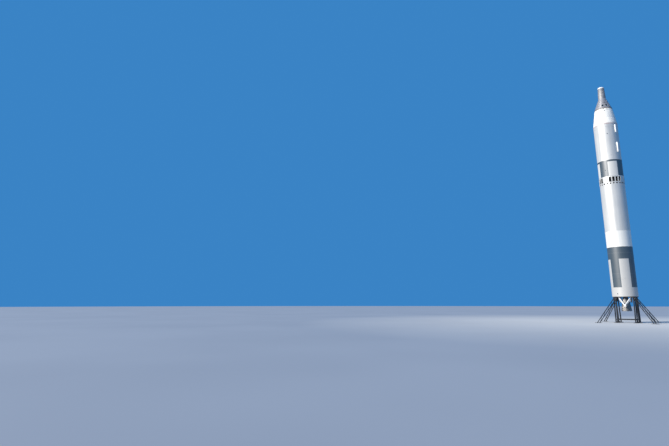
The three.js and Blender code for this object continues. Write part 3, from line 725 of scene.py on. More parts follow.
VENTS = 24
VENT_START = -4.5
VENT_HEIGHT = 19.35
VENT_RADIUS = 0.0715
COLLAR_RADIUS = 0.104
COLLAR = ((VENT_RADIUS, -0.008), (COLLAR_RADIUS, -0.008), (COLLAR_RADIUS, 0.003), (VENT_RADIUS, 0.006))
SHADE_DISC_SPAN = (1.4835, 1.512)
collars, shade_discs = bmesh.new(), bmesh.new()
for azimuth in around(VENTS, VENT_START):
    turn_about(collars, at(azimuth, BODY_RADIUS, VENT_HEIGHT), at(azimuth, 1, 0), COLLAR, 20)
    back, front = [at(azimuth, radius, VENT_HEIGHT) for radius in SHADE_DISC_SPAN]
    add_rod(shade_discs, back, front, VENT_RADIUS - GAP, 20)
# The collars and discs are near black: painted shade in the holes.
finish_piece(collars, "vent_collars", "painted_hole_shade")
finish_piece(shade_discs, "vent_shade_discs", "painted_hole_shade")

# %% [markdown]
# The second stage repeats the recipe: a hollow shell round its engine, then tanks with a dome at the
# bottom, and a short forward skirt that carries the spacecraft.

# %% Second-stage skin
SHELL_TOP = 22.80
UPPER_TANKS_TOP = 27.80

line = beads(INTERSTAGE_TOP, SHELL_TOP)
line += [(INNER_RADIUS, SHELL_TOP - GAP), (INNER_RADIUS, INTERSTAGE_TOP + GAP)]
turned_piece(line, "engine_shell_skin", "skin_paint", ["upper_engine_shell"])

line = [*dome_line(SHELL_TOP, 22.5), *beads(SHELL_TOP, UPPER_TANKS_TOP), (0.0, UPPER_TANKS_TOP - GAP)]
turned_piece(line, "upper_tanks_skin", "skin_paint", ["upper_tanks"])

line = capped(UPPER_TANKS_TOP, ADAPTER_BOTTOM, beads(UPPER_TANKS_TOP, ADAPTER_BOTTOM))
turned_piece(line, "forward_skirt_skin", "skin_paint", ["forward_skirt"])

# %% [markdown]
# Cables run outside the tanks under long raceway covers, bright white and rounded along their edges.

# %% Raceway covers
RACEWAYS = (("raceway_low", 23.93, 25.36), ("raceway_high", 26.90, 28.03))
RACEWAY_AZIMUTH = 38.0

for node, low, high in RACEWAYS:
    mesh = bmesh.new()
    cover = at(RACEWAY_AZIMUTH, BODY_RADIUS + 0.055, (low + high) / 2)
    add_box(mesh, cover, (0.20, 0.126, high - low), RACEWAY_AZIMUTH, 0.03)
    flange = at(RACEWAY_AZIMUTH, BODY_RADIUS + 0.004, (low + high) / 2)
    add_box(mesh, flange, (0.26, 0.012, high - low + 0.05), RACEWAY_AZIMUTH, 0.002)
    finish_piece(mesh, node + "_cover", "cover_paint", [node])

# %% [markdown]
# The spacecraft's adapter is a white cone in two sections, and each joint is a low ring. The brown disc
# over it is the edge of the capsule's heat shield.

# %% Adapter and heat shield
ADAPTER_MIDDLE = 29.33
SHIELD_BOTTOM = 30.77
SHIELD_RADIUS = 1.143
CABIN_BOTTOM = 30.86
ADAPTER_PARTS = (
    ("adapter_low", ADAPTER_BOTTOM, ADAPTER_MIDDLE),
    ("adapter_high", ADAPTER_MIDDLE, SHIELD_BOTTOM),
)


def adapter_radius(height):
    share = (height - ADAPTER_BOTTOM) / (SHIELD_BOTTOM - ADAPTER_BOTTOM)
    return BODY_RADIUS + (SHIELD_RADIUS - BODY_RADIUS) * share


for node, low, high in ADAPTER_PARTS:
    foot, head = adapter_radius(low), adapter_radius(high)
    line = [(foot + 0.004, low + GAP), (foot + 0.004, low + 0.045)]
    line += [(adapter_radius(height), height) for height in (low + 0.05, high - 0.05)]
    line += [(head + 0.006, high - 0.045), (head + 0.004, high - GAP)]
    turned_piece(capped(low, high, line), node + "_skin", "adapter_paint", [node])

line = [(1.131, SHIELD_BOTTOM + GAP), (1.138, SHIELD_BOTTOM + 0.008), (SHIELD_RADIUS, SHIELD_BOTTOM + 0.02)]
line = capped(SHIELD_BOTTOM, CABIN_BOTTOM, [*line, (SHIELD_RADIUS, CABIN_BOTTOM - GAP)])
turned_piece(line, "heat_shield_disc", "shield_resin", ["heat_shield"])

# %% [markdown]
# Stringers stiffen the adapter's thin skin and show through it as low upright ribs. A tube laid along the
# cone and sunk to half its depth gives such a rib. A pale pink band of sealant closes the joint to the
# rocket below.

# %% Adapter ribs and sealing band
RIBS_ROUND = 48
RIB_RADIUS = 0.006
RIB_INSET = 0.07
VENT_COVERS = ((-63.0, 28.79, 0.15, 0.09), (117.0, 29.1, 0.12, 0.10), (201.0, 28.86, 0.14, 0.08))

mesh = bmesh.new()
for node, low, high in ADAPTER_PARTS:
    for azimuth in around(RIBS_ROUND, 3.75):
        ends = [at(azimuth, adapter_radius(z) - 0.001, z) for z in (low + RIB_INSET, high - RIB_INSET)]
        add_rod(mesh, *ends, RIB_RADIUS, 6)
finish_piece(mesh, "adapter_ribs", "adapter_paint")

mesh = bmesh.new()
add_hoop(mesh, BODY_RADIUS + 0.001, ADAPTER_BOTTOM - 0.10, 0.09, 0.004)
add_hoop(mesh, adapter_radius(ADAPTER_BOTTOM + RIB_INSET) + 0.001, ADAPTER_BOTTOM + RIB_INSET, 0.03, 0.003)
finish_piece(mesh, "adapter_sealing_band", "sealant_paint")

mesh = bmesh.new()
for azimuth, height, wide, tall in VENT_COVERS:
    add_box(mesh, at(azimuth, adapter_radius(height) - 0.014, height), (wide, 0.044, tall), azimuth, 0.006)
finish_piece(mesh, "adapter_vent_covers", "scorched_paint")

# %% [markdown]
# Small thrusters steer the spacecraft in orbit. Each is a short flared nozzle that looks out through a
# round flange. The nozzle is hollow, so it is a closed profile turned about its own axis, which stands
# square to the cone. The photograph shows four on the side towards the camera, and the same pattern is
# repeated behind.

# %% Adapter thrusters
ADAPTER_TILT = math.atan2(BODY_RADIUS - SHIELD_RADIUS, SHIELD_BOTTOM - ADAPTER_BOTTOM)
NOZZLES = ((-26.0, 30.45), (-12.6, 30.70), (-8.0, 30.37), (10.0, 30.59))
FLANGE_LINE = ((0.0, -0.03), (0.070, -0.03), (0.070, 0.006), (0.046, 0.008))
NOZZLE_LINE = ((0.040, 0.010), (0.052, 0.034), (0.046, 0.034), (0.030, 0.006), (0.016, -0.012), (0.0, -0.012))

mesh = bmesh.new()
for half_turn, (first, height) in product((0, 180), NOZZLES):
    azimuth = first + half_turn
    outwards = at(azimuth, math.cos(ADAPTER_TILT), math.sin(ADAPTER_TILT))
    turn_about(mesh, at(azimuth, adapter_radius(height), height), outwards, FLANGE_LINE + NOZZLE_LINE)
finish_piece(mesh, "adapter_thrusters", "engine_steel")

# %% [markdown]
# The cabin is a hollow cone. Its solid already has the openings for the two hatches, so its joined copy is
# used, and so are the hatches with their window holes.

# %% Cabin and hatches
SIDES = (("right", 1), ("left", -1))

mesh = copy_of("cabin_shell")
finish_piece(mesh, "cabin_skin", "capsule_metal", ["cabin_shell"], sharp=20)
for side, sign in SIDES:
    body = "hatch_" + side + "_body"
    copied_piece("hatch_" + side, "_skin", "capsule_metal", body, 20)
    copied_piece("window_" + side, "_pane", "window_glass", body, 20)

# %% [markdown]
# The cone is clad in thin overlapping shingles that can grow as they heat up. A plate that follows the cone
# starts as a flat grid. Each corner of the grid gets its own place on the cone, and extruding the grid
# inwards makes the plate solid. Two beads across each shingle are narrower plates that stand a little
# higher.

# %% Plates on the cone
CABIN_TOP = 32.62
NECK_RADIUS = 0.490
CONE_SLOPE = (SHIELD_RADIUS - NECK_RADIUS) / (CABIN_TOP - CABIN_BOTTOM)
CONE_COS = 1 / math.hypot(1, CONE_SLOPE)
CONE_SIN = CONE_SLOPE * CONE_COS
PLATE_SUNK = 0.0015
SHINGLE_PROUD = 0.003
BEAD_PROUD = 0.0055
BEAD_HALF = 0.007


def on_cabin(azimuth, height, proud=0.0):
    """A point over the cabin's skin at an azimuth and a height, a distance proud of it."""
    radius = SHIELD_RADIUS - (height - CABIN_BOTTOM) * CONE_SLOPE
    return at(azimuth, radius + proud * CONE_COS, height + proud * CONE_SIN)


def extrude_grid(mesh, grid):
    """Extrudes a grid's faces in place and gives the new corners, which are then moved."""
    faces = list({face for corner in grid for face in corner.link_faces})
    made = bmesh.ops.extrude_face_region(mesh, geom=faces)["geom"]
    return [part for part in made if isinstance(part, bmesh.types.BMVert)]


def add_plate(mesh, start, end, low, high, proud):
    """A thin plate on the cone between two azimuths and two heights."""
    across = max(1, round(abs(end - start) / 3))
    grid = bmesh.ops.create_grid(mesh, x_segments=across, y_segments=1, size=0.5)["verts"]
    for corner in grid:
        azimuth = start + (end - start) * (corner.co.x + 0.5)
        corner.co = on_cabin(azimuth, low + (high - low) * (corner.co.y + 0.5), proud)
    thick = proud + PLATE_SUNK
    for corner in extrude_grid(mesh, grid):
        azimuth = math.degrees(math.atan2(corner.co.x, -corner.co.y))
        corner.co -= at(azimuth, thick * CONE_COS, thick * CONE_SIN)


def add_shingle(mesh, start, end, low, high, sign=1, beaded=True):
    """A shingle between two azimuths and two heights, with two beads across it."""
    add_plate(mesh, sign * start, sign * end, low, high, SHINGLE_PROUD)
    for share in (0.33, 0.67) if beaded else ():
        middle = low + (high - low) * share
        limits = (middle - BEAD_HALF, middle + BEAD_HALF)
        add_plate(mesh, sign * (start + 0.8), sign * (end - 0.8), *limits, BEAD_PROUD)


def add_screw(mesh, azimuth, height, sunk, proud, size):
    """A screw's head that stands square to the cone."""
    add_rod(mesh, on_cabin(azimuth, height, sunk), on_cabin(azimuth, height, proud), size, 6)


print("cabin cone leans in by", round(math.degrees(math.atan(CONE_SLOPE)), 1), "degrees")

# %% Shingles on the cabin
HATCH_EDGE = 42.9
FULL_ROWS = ((30.885, 30.992), (32.182, 32.395), (32.405, 32.600))
SIDE_ROWS = ((31.004, 31.290), (31.300, 31.585), (31.595, 31.880), (31.890, 32.172))
# The columns are the rows of heights, where they start and end, how many shingles a row has, and whether the
# first and the last lie along a hatch's hinge and stay plain.
SHINGLE_ROWS = (
    (FULL_ROWS, 0.0, 360.0, 24, False),
    (SIDE_ROWS, HATCH_EDGE, 360.0 - HATCH_EDGE, 18, True),
)

mesh = bmesh.new()
for rows, first, last, columns, hinged in SHINGLE_ROWS:
    for (low, high), column in product(rows, range(columns)):
        start = first + (last - first) * column / columns + 0.2
        end = first + (last - first) * (column + 1) / columns - 0.2
        add_shingle(mesh, start, end, low, high, beaded=not (hinged and column in (0, columns - 1)))
finish_piece(mesh, "cabin_shingles", "capsule_metal")

# %% [markdown]
# Each hatch carries shingles of its own, a raised rim round its window, a latch near its free edge and a
# line of small screws. All of them ride on the hatch, so they swing with it.

# %% Hatch plates, window rims and latches
HATCH_LOW = 31.01
HATCH_HIGH = 32.16
HATCH_INNER = 3.5
WINDOW_LOW = 31.13
WINDOW_HIGH = 31.49
WINDOW_INNER = 6.5
WINDOW_OUTER = 22.0
RIM = 0.028
RIM_TURN = math.degrees(RIM / 0.93)
RIM_INNER = WINDOW_INNER - RIM_TURN
RIM_OUTER = WINDOW_OUTER + RIM_TURN
ABOVE_WINDOW = WINDOW_HIGH + RIM + 0.012
RIM_PLATES = (
    (RIM_INNER, RIM_OUTER, WINDOW_LOW - RIM, WINDOW_LOW),
    (RIM_INNER, RIM_OUTER, WINDOW_HIGH, WINDOW_HIGH + RIM),
    (RIM_INNER, WINDOW_INNER, WINDOW_LOW, WINDOW_HIGH),
    (WINDOW_OUTER, RIM_OUTER, WINDOW_LOW, WINDOW_HIGH),
)
HATCH_ROWS = ((ABOVE_WINDOW, 31.83), (31.84, HATCH_HIGH - 0.03))
HATCH_COLUMNS = ((HATCH_INNER + 1.4, 16.0), (16.4, 27.8), (28.2, 37.6))
LATCH = HATCH_INNER + 2.6
LATCH_ENDS = (31.735, 31.925)
SCREW = (-0.002, 0.005, 0.006)

for side, sign in SIDES:
    body = "hatch_" + side + "_body"
    mesh = bmesh.new()
    for (low, high), (start, end) in product(HATCH_ROWS, HATCH_COLUMNS):
        add_shingle(mesh, start, end, low, high, sign)
    start, end = WINDOW_OUTER + RIM_TURN + 0.5, 37.6
    add_plate(mesh, sign * start, sign * end, HATCH_LOW + 0.03, ABOVE_WINDOW - 0.01, SHINGLE_PROUD)
    start, end = WINDOW_OUTER + RIM_TURN + 1.3, 36.8
    for middle in (31.14, 31.27, 31.40):
        add_plate(mesh, sign * start, sign * end, middle - BEAD_HALF, middle + BEAD_HALF, BEAD_PROUD)
    finish_piece(mesh, "hatch_" + side + "_shingles", "capsule_metal", body=body)

    mesh = bmesh.new()
    for start, end, low, high in RIM_PLATES:
        add_plate(mesh, sign * start, sign * end, low, high, 0.008)
    for share in (0.04, 0.28, 0.52, 0.76, 0.96):
        azimuth = WINDOW_INNER + (WINDOW_OUTER - WINDOW_INNER) * share
        for height in (WINDOW_LOW - RIM / 2, WINDOW_HIGH + RIM / 2):
            add_screw(mesh, sign * azimuth, height, 0.006, 0.012, 0.007)
    finish_piece(mesh, "window_" + side + "_rim", "rim_metal", body=body)

    mesh = bmesh.new()
    add_plate(mesh, sign * (LATCH - 1.6), sign * (LATCH + 2.2), 31.70, 31.96, 0.007)
    ends = [on_cabin(sign * LATCH, height, 0.03) for height in LATCH_ENDS]
    add_rod(mesh, *ends, 0.009, 12)
    for height, end in zip(LATCH_ENDS, ends):
        add_rod(mesh, on_cabin(sign * LATCH, height, 0.002), end, 0.010, 12)
        add_ball(mesh, end, 0.011)
    for step in range(12):
        height = HATCH_LOW + 0.05 + (HATCH_HIGH - HATCH_LOW - 0.1) * step / 11
        for azimuth in (HATCH_INNER + 0.7, 38.4):
            add_screw(mesh, sign * azimuth, height, *SCREW)
    for step in range(9):
        azimuth = HATCH_INNER + 2 + (37 - HATCH_INNER - 4) * step / 8
        for height in (HATCH_LOW + 0.014, HATCH_HIGH - 0.014):
            add_screw(mesh, sign * azimuth, height, *SCREW)
    finish_piece(mesh, "hatch_" + side + "_latch", "bolt_steel", body=body)

# %% [markdown]
# The crew lie on their backs in metal seat shells with thin pads. A pad is crowned on top, flat underneath
# where it rests on the shell, and pulled in between its corners. Two surfaces over one grid give it, with
# grooves pressed in along its sewn seams, and they meet at the rim. Flat straps run over the pads to a
# buckle.

# %% Seat shells
SEAT_X = 0.33
SEAT_FLOOR = CABIN_BOTTOM + 0.04
# The columns are how far a plate is to the side, along y and over the seat's floor, its size, and its edge.
SEAT_PLATES = (
    (0, -0.115, 0.016, (0.50, 0.89, 0.030), 0.006),
    (0, 0.412, 0.22, (0.50, 0.030, 0.435), 0.006),
    (0, -0.50, 0.075, (0.28, 0.10, 0.09), 0.012),
    (0, 0.0, -0.010, (0.40, 0.20, 0.056), 0.006),
    (-0.238, -0.05, 0.045, (0.020, 0.74, 0.06), 0.005),
    (-0.238, 0.365, 0.22, (0.020, 0.09, 0.40), 0.005),
    (0.238, -0.05, 0.045, (0.020, 0.74, 0.06), 0.005),
    (0.238, 0.365, 0.22, (0.020, 0.09, 0.40), 0.005),
)

for side, sign in SIDES:
    mesh = bmesh.new()
    for across, along, rise, size, edge in SEAT_PLATES:
        add_box(mesh, (sign * SEAT_X + across, along, SEAT_FLOOR + rise), size, 0, edge)
    for along, across in product((-0.48, -0.30, -0.10, 0.10, 0.28), (-0.225, 0.225)):
        foot = Vector((sign * SEAT_X + across, along, SEAT_FLOOR + 0.030))
        add_stud(mesh, foot, up(0.006), 0.008)
    finish_piece(mesh, "seat_" + side + "_shell", "seat_shell_paint", ["seat_" + side])

# %% Seat pads
PAD_STEPS = 20
BACK_PAD_Y = -0.065
BACK_PAD_LONG = 0.375
BACK_PAD_THICK = 0.056
BACK_PAD_RISE = 0.031
PAD_RIM = 0.35
SEAM_HALF_WIDTH = 0.05
# The columns are a pad's name, its place along y and over the seat's floor, how far it is tipped up, half its
# width, half its length, its thickness, and where its seams cross it.
PADS = (
    ("back", BACK_PAD_Y, BACK_PAD_RISE, 0, 0.222, BACK_PAD_LONG, BACK_PAD_THICK, (-0.62, -0.2, 0.2, 0.62)),
    ("hip", 0.396, 0.235, 90, 0.222, 0.185, 0.052, (-0.3, 0.3)),
    ("head", -0.50, 0.120, 0, 0.13, 0.048, 0.028, ()),
)


def add_pad(mesh, place, half_wide, half_long, thick, seams):
    """A pad that lies on the level plane of a placing matrix, with grooves across its length."""
    rim = thick * PAD_RIM
    for on_top in (True, False):
        grid = bmesh.ops.create_grid(mesh, x_segments=PAD_STEPS, y_segments=PAD_STEPS, size=1.0)["verts"]
        for corner in grid:
            u = math.sin(math.pi / 2 * corner.co.x)
            v = math.sin(math.pi / 2 * corner.co.y)
            crown = math.sqrt(max(0.0, (1 - u**4) * (1 - v**4)))
            edge = math.sqrt(max(0.0, (1 - u**8) * (1 - v**8)))
            groove = 1 - 0.4 * sum(math.exp(-(((v - seam) / SEAM_HALF_WIDTH) ** 2)) for seam in seams)
            height = rim + (thick - rim) * crown * groove if on_top else rim * (1 - edge)
            wide = half_wide * u * (1 - 0.03 * (1 - v * v))
            long = half_long * v * (1 - 0.03 * (1 - u * u))
            corner.co = place @ Vector((wide, long, height))


for (side, sign), (pad, along, rise, tipped, *shape) in product(SIDES, PADS):
    place = Matrix.Translation((sign * SEAT_X, along, SEAT_FLOOR + rise))
    if tipped:
        place = place @ Matrix.Rotation(math.radians(tipped), 4, "X")
    mesh = bmesh.new()
    add_pad(mesh, place, *shape)
    piece = finish_piece(mesh, "seat_" + side + "_" + pad + "_pad", "seat_cloth", sharp=60)

# %% Seat straps
STRAP_THICK = 0.003
STRAP_WIDE = 0.042
BUCKLE_Y = 0.155


def add_strap(mesh, line):
    """A flat strap along a line of points, its width along X."""
    steps = len(line) - 1
    grid = bmesh.ops.create_grid(mesh, x_segments=1, y_segments=steps, size=0.5)["verts"]
    for corner in grid:
        across = corner.co.x * STRAP_WIDE
        corner.co = Vector(line[round((corner.co.y + 0.5) * steps)]) + Vector((across, 0, 0))
    bmesh.ops.translate(mesh, verts=extrude_grid(mesh, grid), vec=(0, 0, STRAP_THICK))


def add_bar(mesh, start, end, wide, deep):
    """A square bar between two points: wide is its level side."""
    along = (end - start).normalized()
    side = along.cross(up(1)).normalized()
    turned = Matrix((side, along, side.cross(along))).transposed().to_4x4()
    size = Matrix.Diagonal((wide, (end - start).length, deep, 1.0))
    bmesh.ops.create_cube(mesh, size=1.0, matrix=Matrix.Translation((start + end) / 2) @ turned @ size)


def pad_height(y):
    """The height of the back pad's crown along its middle."""
    v = min(1.0, abs(y - BACK_PAD_Y) / BACK_PAD_LONG)
    crown = PAD_RIM + (1 - PAD_RIM) * math.sqrt(1 - v**4)
    return SEAT_FLOOR + BACK_PAD_RISE + BACK_PAD_THICK * crown


for side, sign in SIDES:
    x = sign * SEAT_X
    mesh = bmesh.new()
    along = [-0.44 + 0.05 * step for step in range(13)]
    for across in (-0.075, 0.075):
        add_strap(mesh, [(x + across, y, pad_height(y) + 0.002) for y in along])
    for hand in (-1, 1):
        start = Vector((x + hand * 0.06, BUCKLE_Y, pad_height(BUCKLE_Y) + 0.006))
        end = Vector((x + hand * 0.232, BUCKLE_Y, SEAT_FLOOR + 0.076))
        add_bar(mesh, start, end, STRAP_WIDE, STRAP_THICK)
    add_box(mesh, (x, BUCKLE_Y, pad_height(BUCKLE_Y) + 0.012), (0.13, 0.07, 0.016), 0, 0.004)
    finish_piece(mesh, "seat_" + side + "_straps", "strap_weave")

# %% [markdown]
# The instrument panel is a level board over the crew's knees, with a column down its middle. Round dials
# with plain white marks and rows of toggle switches face the crew. Their number and places are not visible
# in the photograph, so they are kept plain and even.

# %% Instrument panel
PANEL_FACE = 31.64
COLUMN_FACE = -0.10
DOWN = (0, 0, -1)
# The columns are how far a dial is to the side, its place along y, and its radius.
DIALS = (
    (0.27, -0.13, 0.062),
    (0.19, -0.30, 0.036),
    (0.35, -0.30, 0.036),
    (0.17, 0.05, 0.030),
    (0.37, 0.05, 0.030),
)
SWITCH_ROWS = (-0.215, -0.008, 0.014)

paint_node("cabin_bulkhead", "panel_paint")
paint_node("instrument_panel", "panel_paint")
rims, faces, marks, switches = bmesh.new(), bmesh.new(), bmesh.new(), bmesh.new()


def add_dial(centre, normal, size):
    """A dial on a face: its rim, its dark face, its twelve marks and its hand."""
    centre, normal = Vector(centre), Vector(normal)
    outside = ((0.0, -0.004), (size, -0.004), (size, 0.008))
    turn_about(rims, centre, normal, (*outside, (size * 0.86, 0.009), (size * 0.82, 0.004), (0.0, 0.004)), 24)
    add_rod(faces, centre + normal * 0.003, centre + normal * 0.005, size * 0.82, 24)
    level = Vector((1, 0, 0))
    other = normal.cross(level)
    for step in range(12):
        angle = math.tau * step / 12
        ray = level * math.cos(angle) + other * math.sin(angle)
        ends = [centre + ray * size * reach + normal * 0.0052 for reach in (0.62, 0.76)]
        add_rod(marks, *ends, size * 0.022, 6)
    hand = level * math.cos(0.9) + other * math.sin(0.9)
    add_rod(marks, centre + normal * 0.006, centre + hand * size * 0.6 + normal * 0.006, size * 0.03, 6)


def add_switch(foot, collar_reach, collar, lever_reach, lever):
    """A toggle switch: a collar round its foot and a lever."""
    add_stud(switches, foot, Vector(collar_reach), collar, 8)
    add_stud(switches, foot, Vector(lever_reach), lever, 8)


for sign in (-1, 1):
    for across, along, size in DIALS:
        add_dial((sign * across, along, PANEL_FACE), DOWN, size)
    for along, place in product(SWITCH_ROWS, range(6)):
        foot = Vector((sign * (0.15 + 0.045 * place), along, PANEL_FACE))
        add_switch(foot, (0, 0, -0.004), 0.007, (0, -0.006, -0.018), 0.0025)
for row, place in product(range(6), range(4)):
    foot = Vector((-0.075 + 0.05 * place, COLUMN_FACE, 31.36 + 0.038 * row))
    add_switch(foot, (0, -0.004, 0), 0.008, (0, -0.018, 0.006), 0.003)
finish_piece(rims, "dial_rims", "bolt_steel")
finish_piece(faces, "dial_faces", "dial_face")
finish_piece(marks, "dial_marks", "dial_mark")
finish_piece(switches, "toggle_switches", "bolt_steel")

# %% [markdown]
# Above the cabin, a short cylinder holds the small thrusters that turn the capsule, and a slim tapered
# section ends in a white cap.

# %% Nose
THRUSTER_TOP = 33.12
NOSE_TOP = 34.29
CAP_TOP = 34.48
BARREL_RADIUS = 0.464
BARREL_FOOT = 0.035

line = [(NECK_RADIUS, CABIN_TOP + GAP), (NECK_RADIUS, CABIN_TOP + 0.04), (0.484, CABIN_TOP + 0.045)]
line += [(0.480, THRUSTER_TOP - 0.05), (0.486, THRUSTER_TOP - 0.045), (0.486, THRUSTER_TOP - GAP)]
line = capped(CABIN_TOP, THRUSTER_TOP, line)
turned_piece(line, "thruster_ring", "nose_metal", ["thruster_section"])

foot = [(0.470, THRUSTER_TOP + GAP), (0.470, THRUSTER_TOP + 0.03)]
head = [(0.4075, NOSE_TOP - 0.04), (0.4095, NOSE_TOP - 0.035), (0.4095, NOSE_TOP - GAP)]
line = capped(THRUSTER_TOP, NOSE_TOP, [*foot, (BARREL_RADIUS, THRUSTER_TOP + BARREL_FOOT), *head])
turned_piece(line, "nose_barrel", "nose_metal", ["nose_section"])

line = [(0.0, NOSE_TOP + GAP), (0.419, NOSE_TOP + GAP), (0.419, CAP_TOP - 0.09), (0.405, CAP_TOP - 0.06)]
line += [(0.375, CAP_TOP - 0.036), (0.33, CAP_TOP - 0.025), (0.22, CAP_TOP - 0.01), (0.0, CAP_TOP)]
turned_piece(line, "nose_cap_shell", "cover_paint", ["nose_cap"])

# %% [markdown]
# Eight pairs of small thrusters look out through the ring below the nose. Each is flush with the skin, so
# its profile goes inwards from a thin lip. Over the nose section, upright beads stiffen the thin panels.

# %% Nose thrusters and beads
NOZZLE_LIP = ((0.0, -0.045), (0.044, -0.045), (0.044, 0.003), (0.034, 0.004))
NOZZLE_BORE = ((0.018, -0.028), (0.0, -0.028))
THRUSTER_PAIR = ((-6.5, 32.80), (6.5, 32.95))
THRUSTER_RADIUS = 0.481
BARREL_LEAN = 0.0467
BEAD_RUNS = ((THRUSTER_TOP + 0.06, 33.56), (33.60, 33.98), (34.02, NOSE_TOP - 0.07))


def barrel_radius(height):
    return BARREL_RADIUS - (height - THRUSTER_TOP - BARREL_FOOT) * BARREL_LEAN


mesh = bmesh.new()
for first, (offset, height) in product(around(8, 22.5), THRUSTER_PAIR):
    azimuth = first + offset
    turn_about(mesh, at(azimuth, THRUSTER_RADIUS, height), at(azimuth, 1, 0), NOZZLE_LIP + NOZZLE_BORE)
finish_piece(mesh, "nose_thrusters", "bolt_steel")

mesh = bmesh.new()
for azimuth, run in product(around(36, 5.0), BEAD_RUNS):
    ends = [at(azimuth, barrel_radius(height), height) for height in run]
    add_rod(mesh, *ends, 0.005, 6)
for height in (33.58, 34.0):
    add_hoop(mesh, barrel_radius(height), height, 0.02, 0.003, steps=64)
finish_piece(mesh, "nose_beads", "nose_metal")

mesh = bmesh.new()
add_hexagons(mesh, around(24), 0.418, CAP_TOP - 0.15, 0.007, 0.004)
finish_piece(mesh, "nose_cap_screws", "cover_paint")

# %% [markdown]
# Each engine's bell is a bundle of thin tubes that fuel runs through, brazed side by side and held by
# hoops. The outline is a smooth curve through a few measured widths. The curve is turned about the engine's
# own axis, the hoops are turned over it, and the tubes are shallow flutes in the finish.

# %% Engine chambers
BELL_WALL = 0.022
HEAD_LINE = ((0.0, 4.13), (0.145, 4.125), (0.15, 4.118), (0.262, 4.005), (0.265, 3.99))
BELL_LINE = (
    (0.265, 3.95), (0.265, 3.76), (0.205, 3.48), (0.300, 3.06), (0.420, 2.46), (0.505, 1.90), (0.545, 1.55),
)
MAIN_HOOPS = (3.30, 3.05, 2.80, 2.55, 2.32, 2.10, 1.90, 1.72)
UPPER_HEAD_LINE = ((0.0, 22.03), (0.125, 22.025), (0.13, 22.018), (0.213, 21.925), (0.215, 21.91))
UPPER_BELL_LINE = (
    (0.215, 21.87), (0.215, 21.74), (0.145, 21.52), (0.330, 21.18), (0.560, 20.70), (0.740, 20.25),
    (0.830, 19.90),
)
UPPER_HOOPS = (21.30, 21.05, 20.80, 20.55, 20.32, 20.10)
# The columns are an engine's name, its axis, azimuth, head, bell, pivot's height and hoops.
ENGINES = (
    ("front", FRONT_ENGINE, GROUND_TURN, HEAD_LINE, BELL_LINE, 4.25, MAIN_HOOPS),
    ("rear", REAR_ENGINE, GROUND_TURN, HEAD_LINE, BELL_LINE, 4.25, MAIN_HOOPS),
    ("upper", UPPER_ENGINE, 0.0, UPPER_HEAD_LINE, UPPER_BELL_LINE, 22.15, UPPER_HOOPS),
)


def on_curve(t, before, start, end, after):
    """A value on the smooth curve from a start to an end, a share t of the way along."""
    square = (2 * before - 5 * start + 4 * end - after) * t * t
    cube = (3 * start - before - 3 * end + after) * t**3
    return 0.5 * (2 * start + (end - before) * t + square + cube)


def smooth_line(points, steps=5):
    """A smooth curve through points."""
    line = []
    known = [points[0], *points, points[-1]]
    for four in zip(known, known[1:], known[2:], known[3:]):
        for step in range(steps):
            line.append(tuple(on_curve(step / steps, *values) for values in zip(*four)))
    return [*line, points[-1]]


def radius_on(line, height):
    """The radius of a falling line at a height."""
    for (r_top, top), (r_low, low) in pairwise(line):
        if low <= height <= top:
            return r_top + (r_low - r_top) * (top - height) / (top - low)
    return line[-1][0]


def add_ears(mesh, centre, pivot, low, azimuth):
    """The two ears that a chamber hangs by, each with a boss round its pin."""
    high = pivot + 0.055
    for side in (-1, 1):
        ear = centre + at(azimuth, side * -0.106, (low + high) / 2)
        add_box(mesh, ear, (0.110, 0.028, high - low), azimuth, 0.004)
        boss = centre + at(azimuth, side * -0.120, pivot)
        add_stud(mesh, boss, at(azimuth, side * -0.012, 0), 0.048, 24)


for engine, centre, azimuth, head, bell, pivot, hoops in ENGINES:
    mesh = bmesh.new()
    axis = (centre.x, centre.y)
    outside = smooth_line(bell)
    throat = min(bell)[1]
    inside = [(r - BELL_WALL, z) for r, z in reversed(outside) if z <= throat]
    turn(mesh, [*head, *outside, *inside, (0.0, throat + 0.05)], *axis)
    for height in hoops:
        add_hoop(mesh, radius_on(outside, height), height, 0.030, 0.012, *axis)
    exit_radius, exit_height = bell[-1]
    add_hoop(mesh, exit_radius - 0.004, exit_height + 0.022, 0.040, 0.004, *axis)
    flange, flange_top = head[-1]
    add_hoop(mesh, flange, flange_top - 0.06, 0.05, 0.035, *axis)
    add_hexagons(mesh, around(24), flange + 0.018, flange_top - 0.035, 0.009, 0.012, False, centre)
    add_ears(mesh, centre, pivot, head[0][1] - 0.09, azimuth)
    node, finish, body = "chamber_" + engine, "bell_" + engine + "_steel", "engine_" + engine
    finish_piece(mesh, node + "_bell", finish, [node], body)

# %% [markdown]
# A chamber tilts on a cross piece: two pins one way on the frame and two the other way on the chamber. The
# pumps stand beside the chambers on the frame, each with a flanged neck and an exhaust stack that ends
# open.

# %% Cross pieces, pumps and frames
FORGED_EDGE = 0.003
HARD_ANGLE = math.radians(60)
PUMPS = (("pump_front", 1), ("pump_rear", -1))
PUMP_X = 0.64
PUMP_Y = -0.76
PUMP_RADIUS = 0.170
NECK = 0.090
PUMP_STEPS = 48
PUMP_LINE = (
    (0.0, 3.62), (0.105, 3.62), (0.120, 3.632), (0.166, 3.675), (PUMP_RADIUS, 3.69), (PUMP_RADIUS, 4.04),
    (0.164, 4.056), (0.092, 4.107), (NECK, 4.12), (NECK, 4.4175), (0.0, 4.4175),
)
STACK_RADIUS = 0.075
STACK_SIDES = 20
FRAME_FACE = 4.522


def turned_place(x, y, z):
    """A place beside the engines, given before they are turned about the rocket's axis."""
    return Matrix.Rotation(math.radians(GROUND_TURN), 4, "Z") @ Vector((x, y, z))


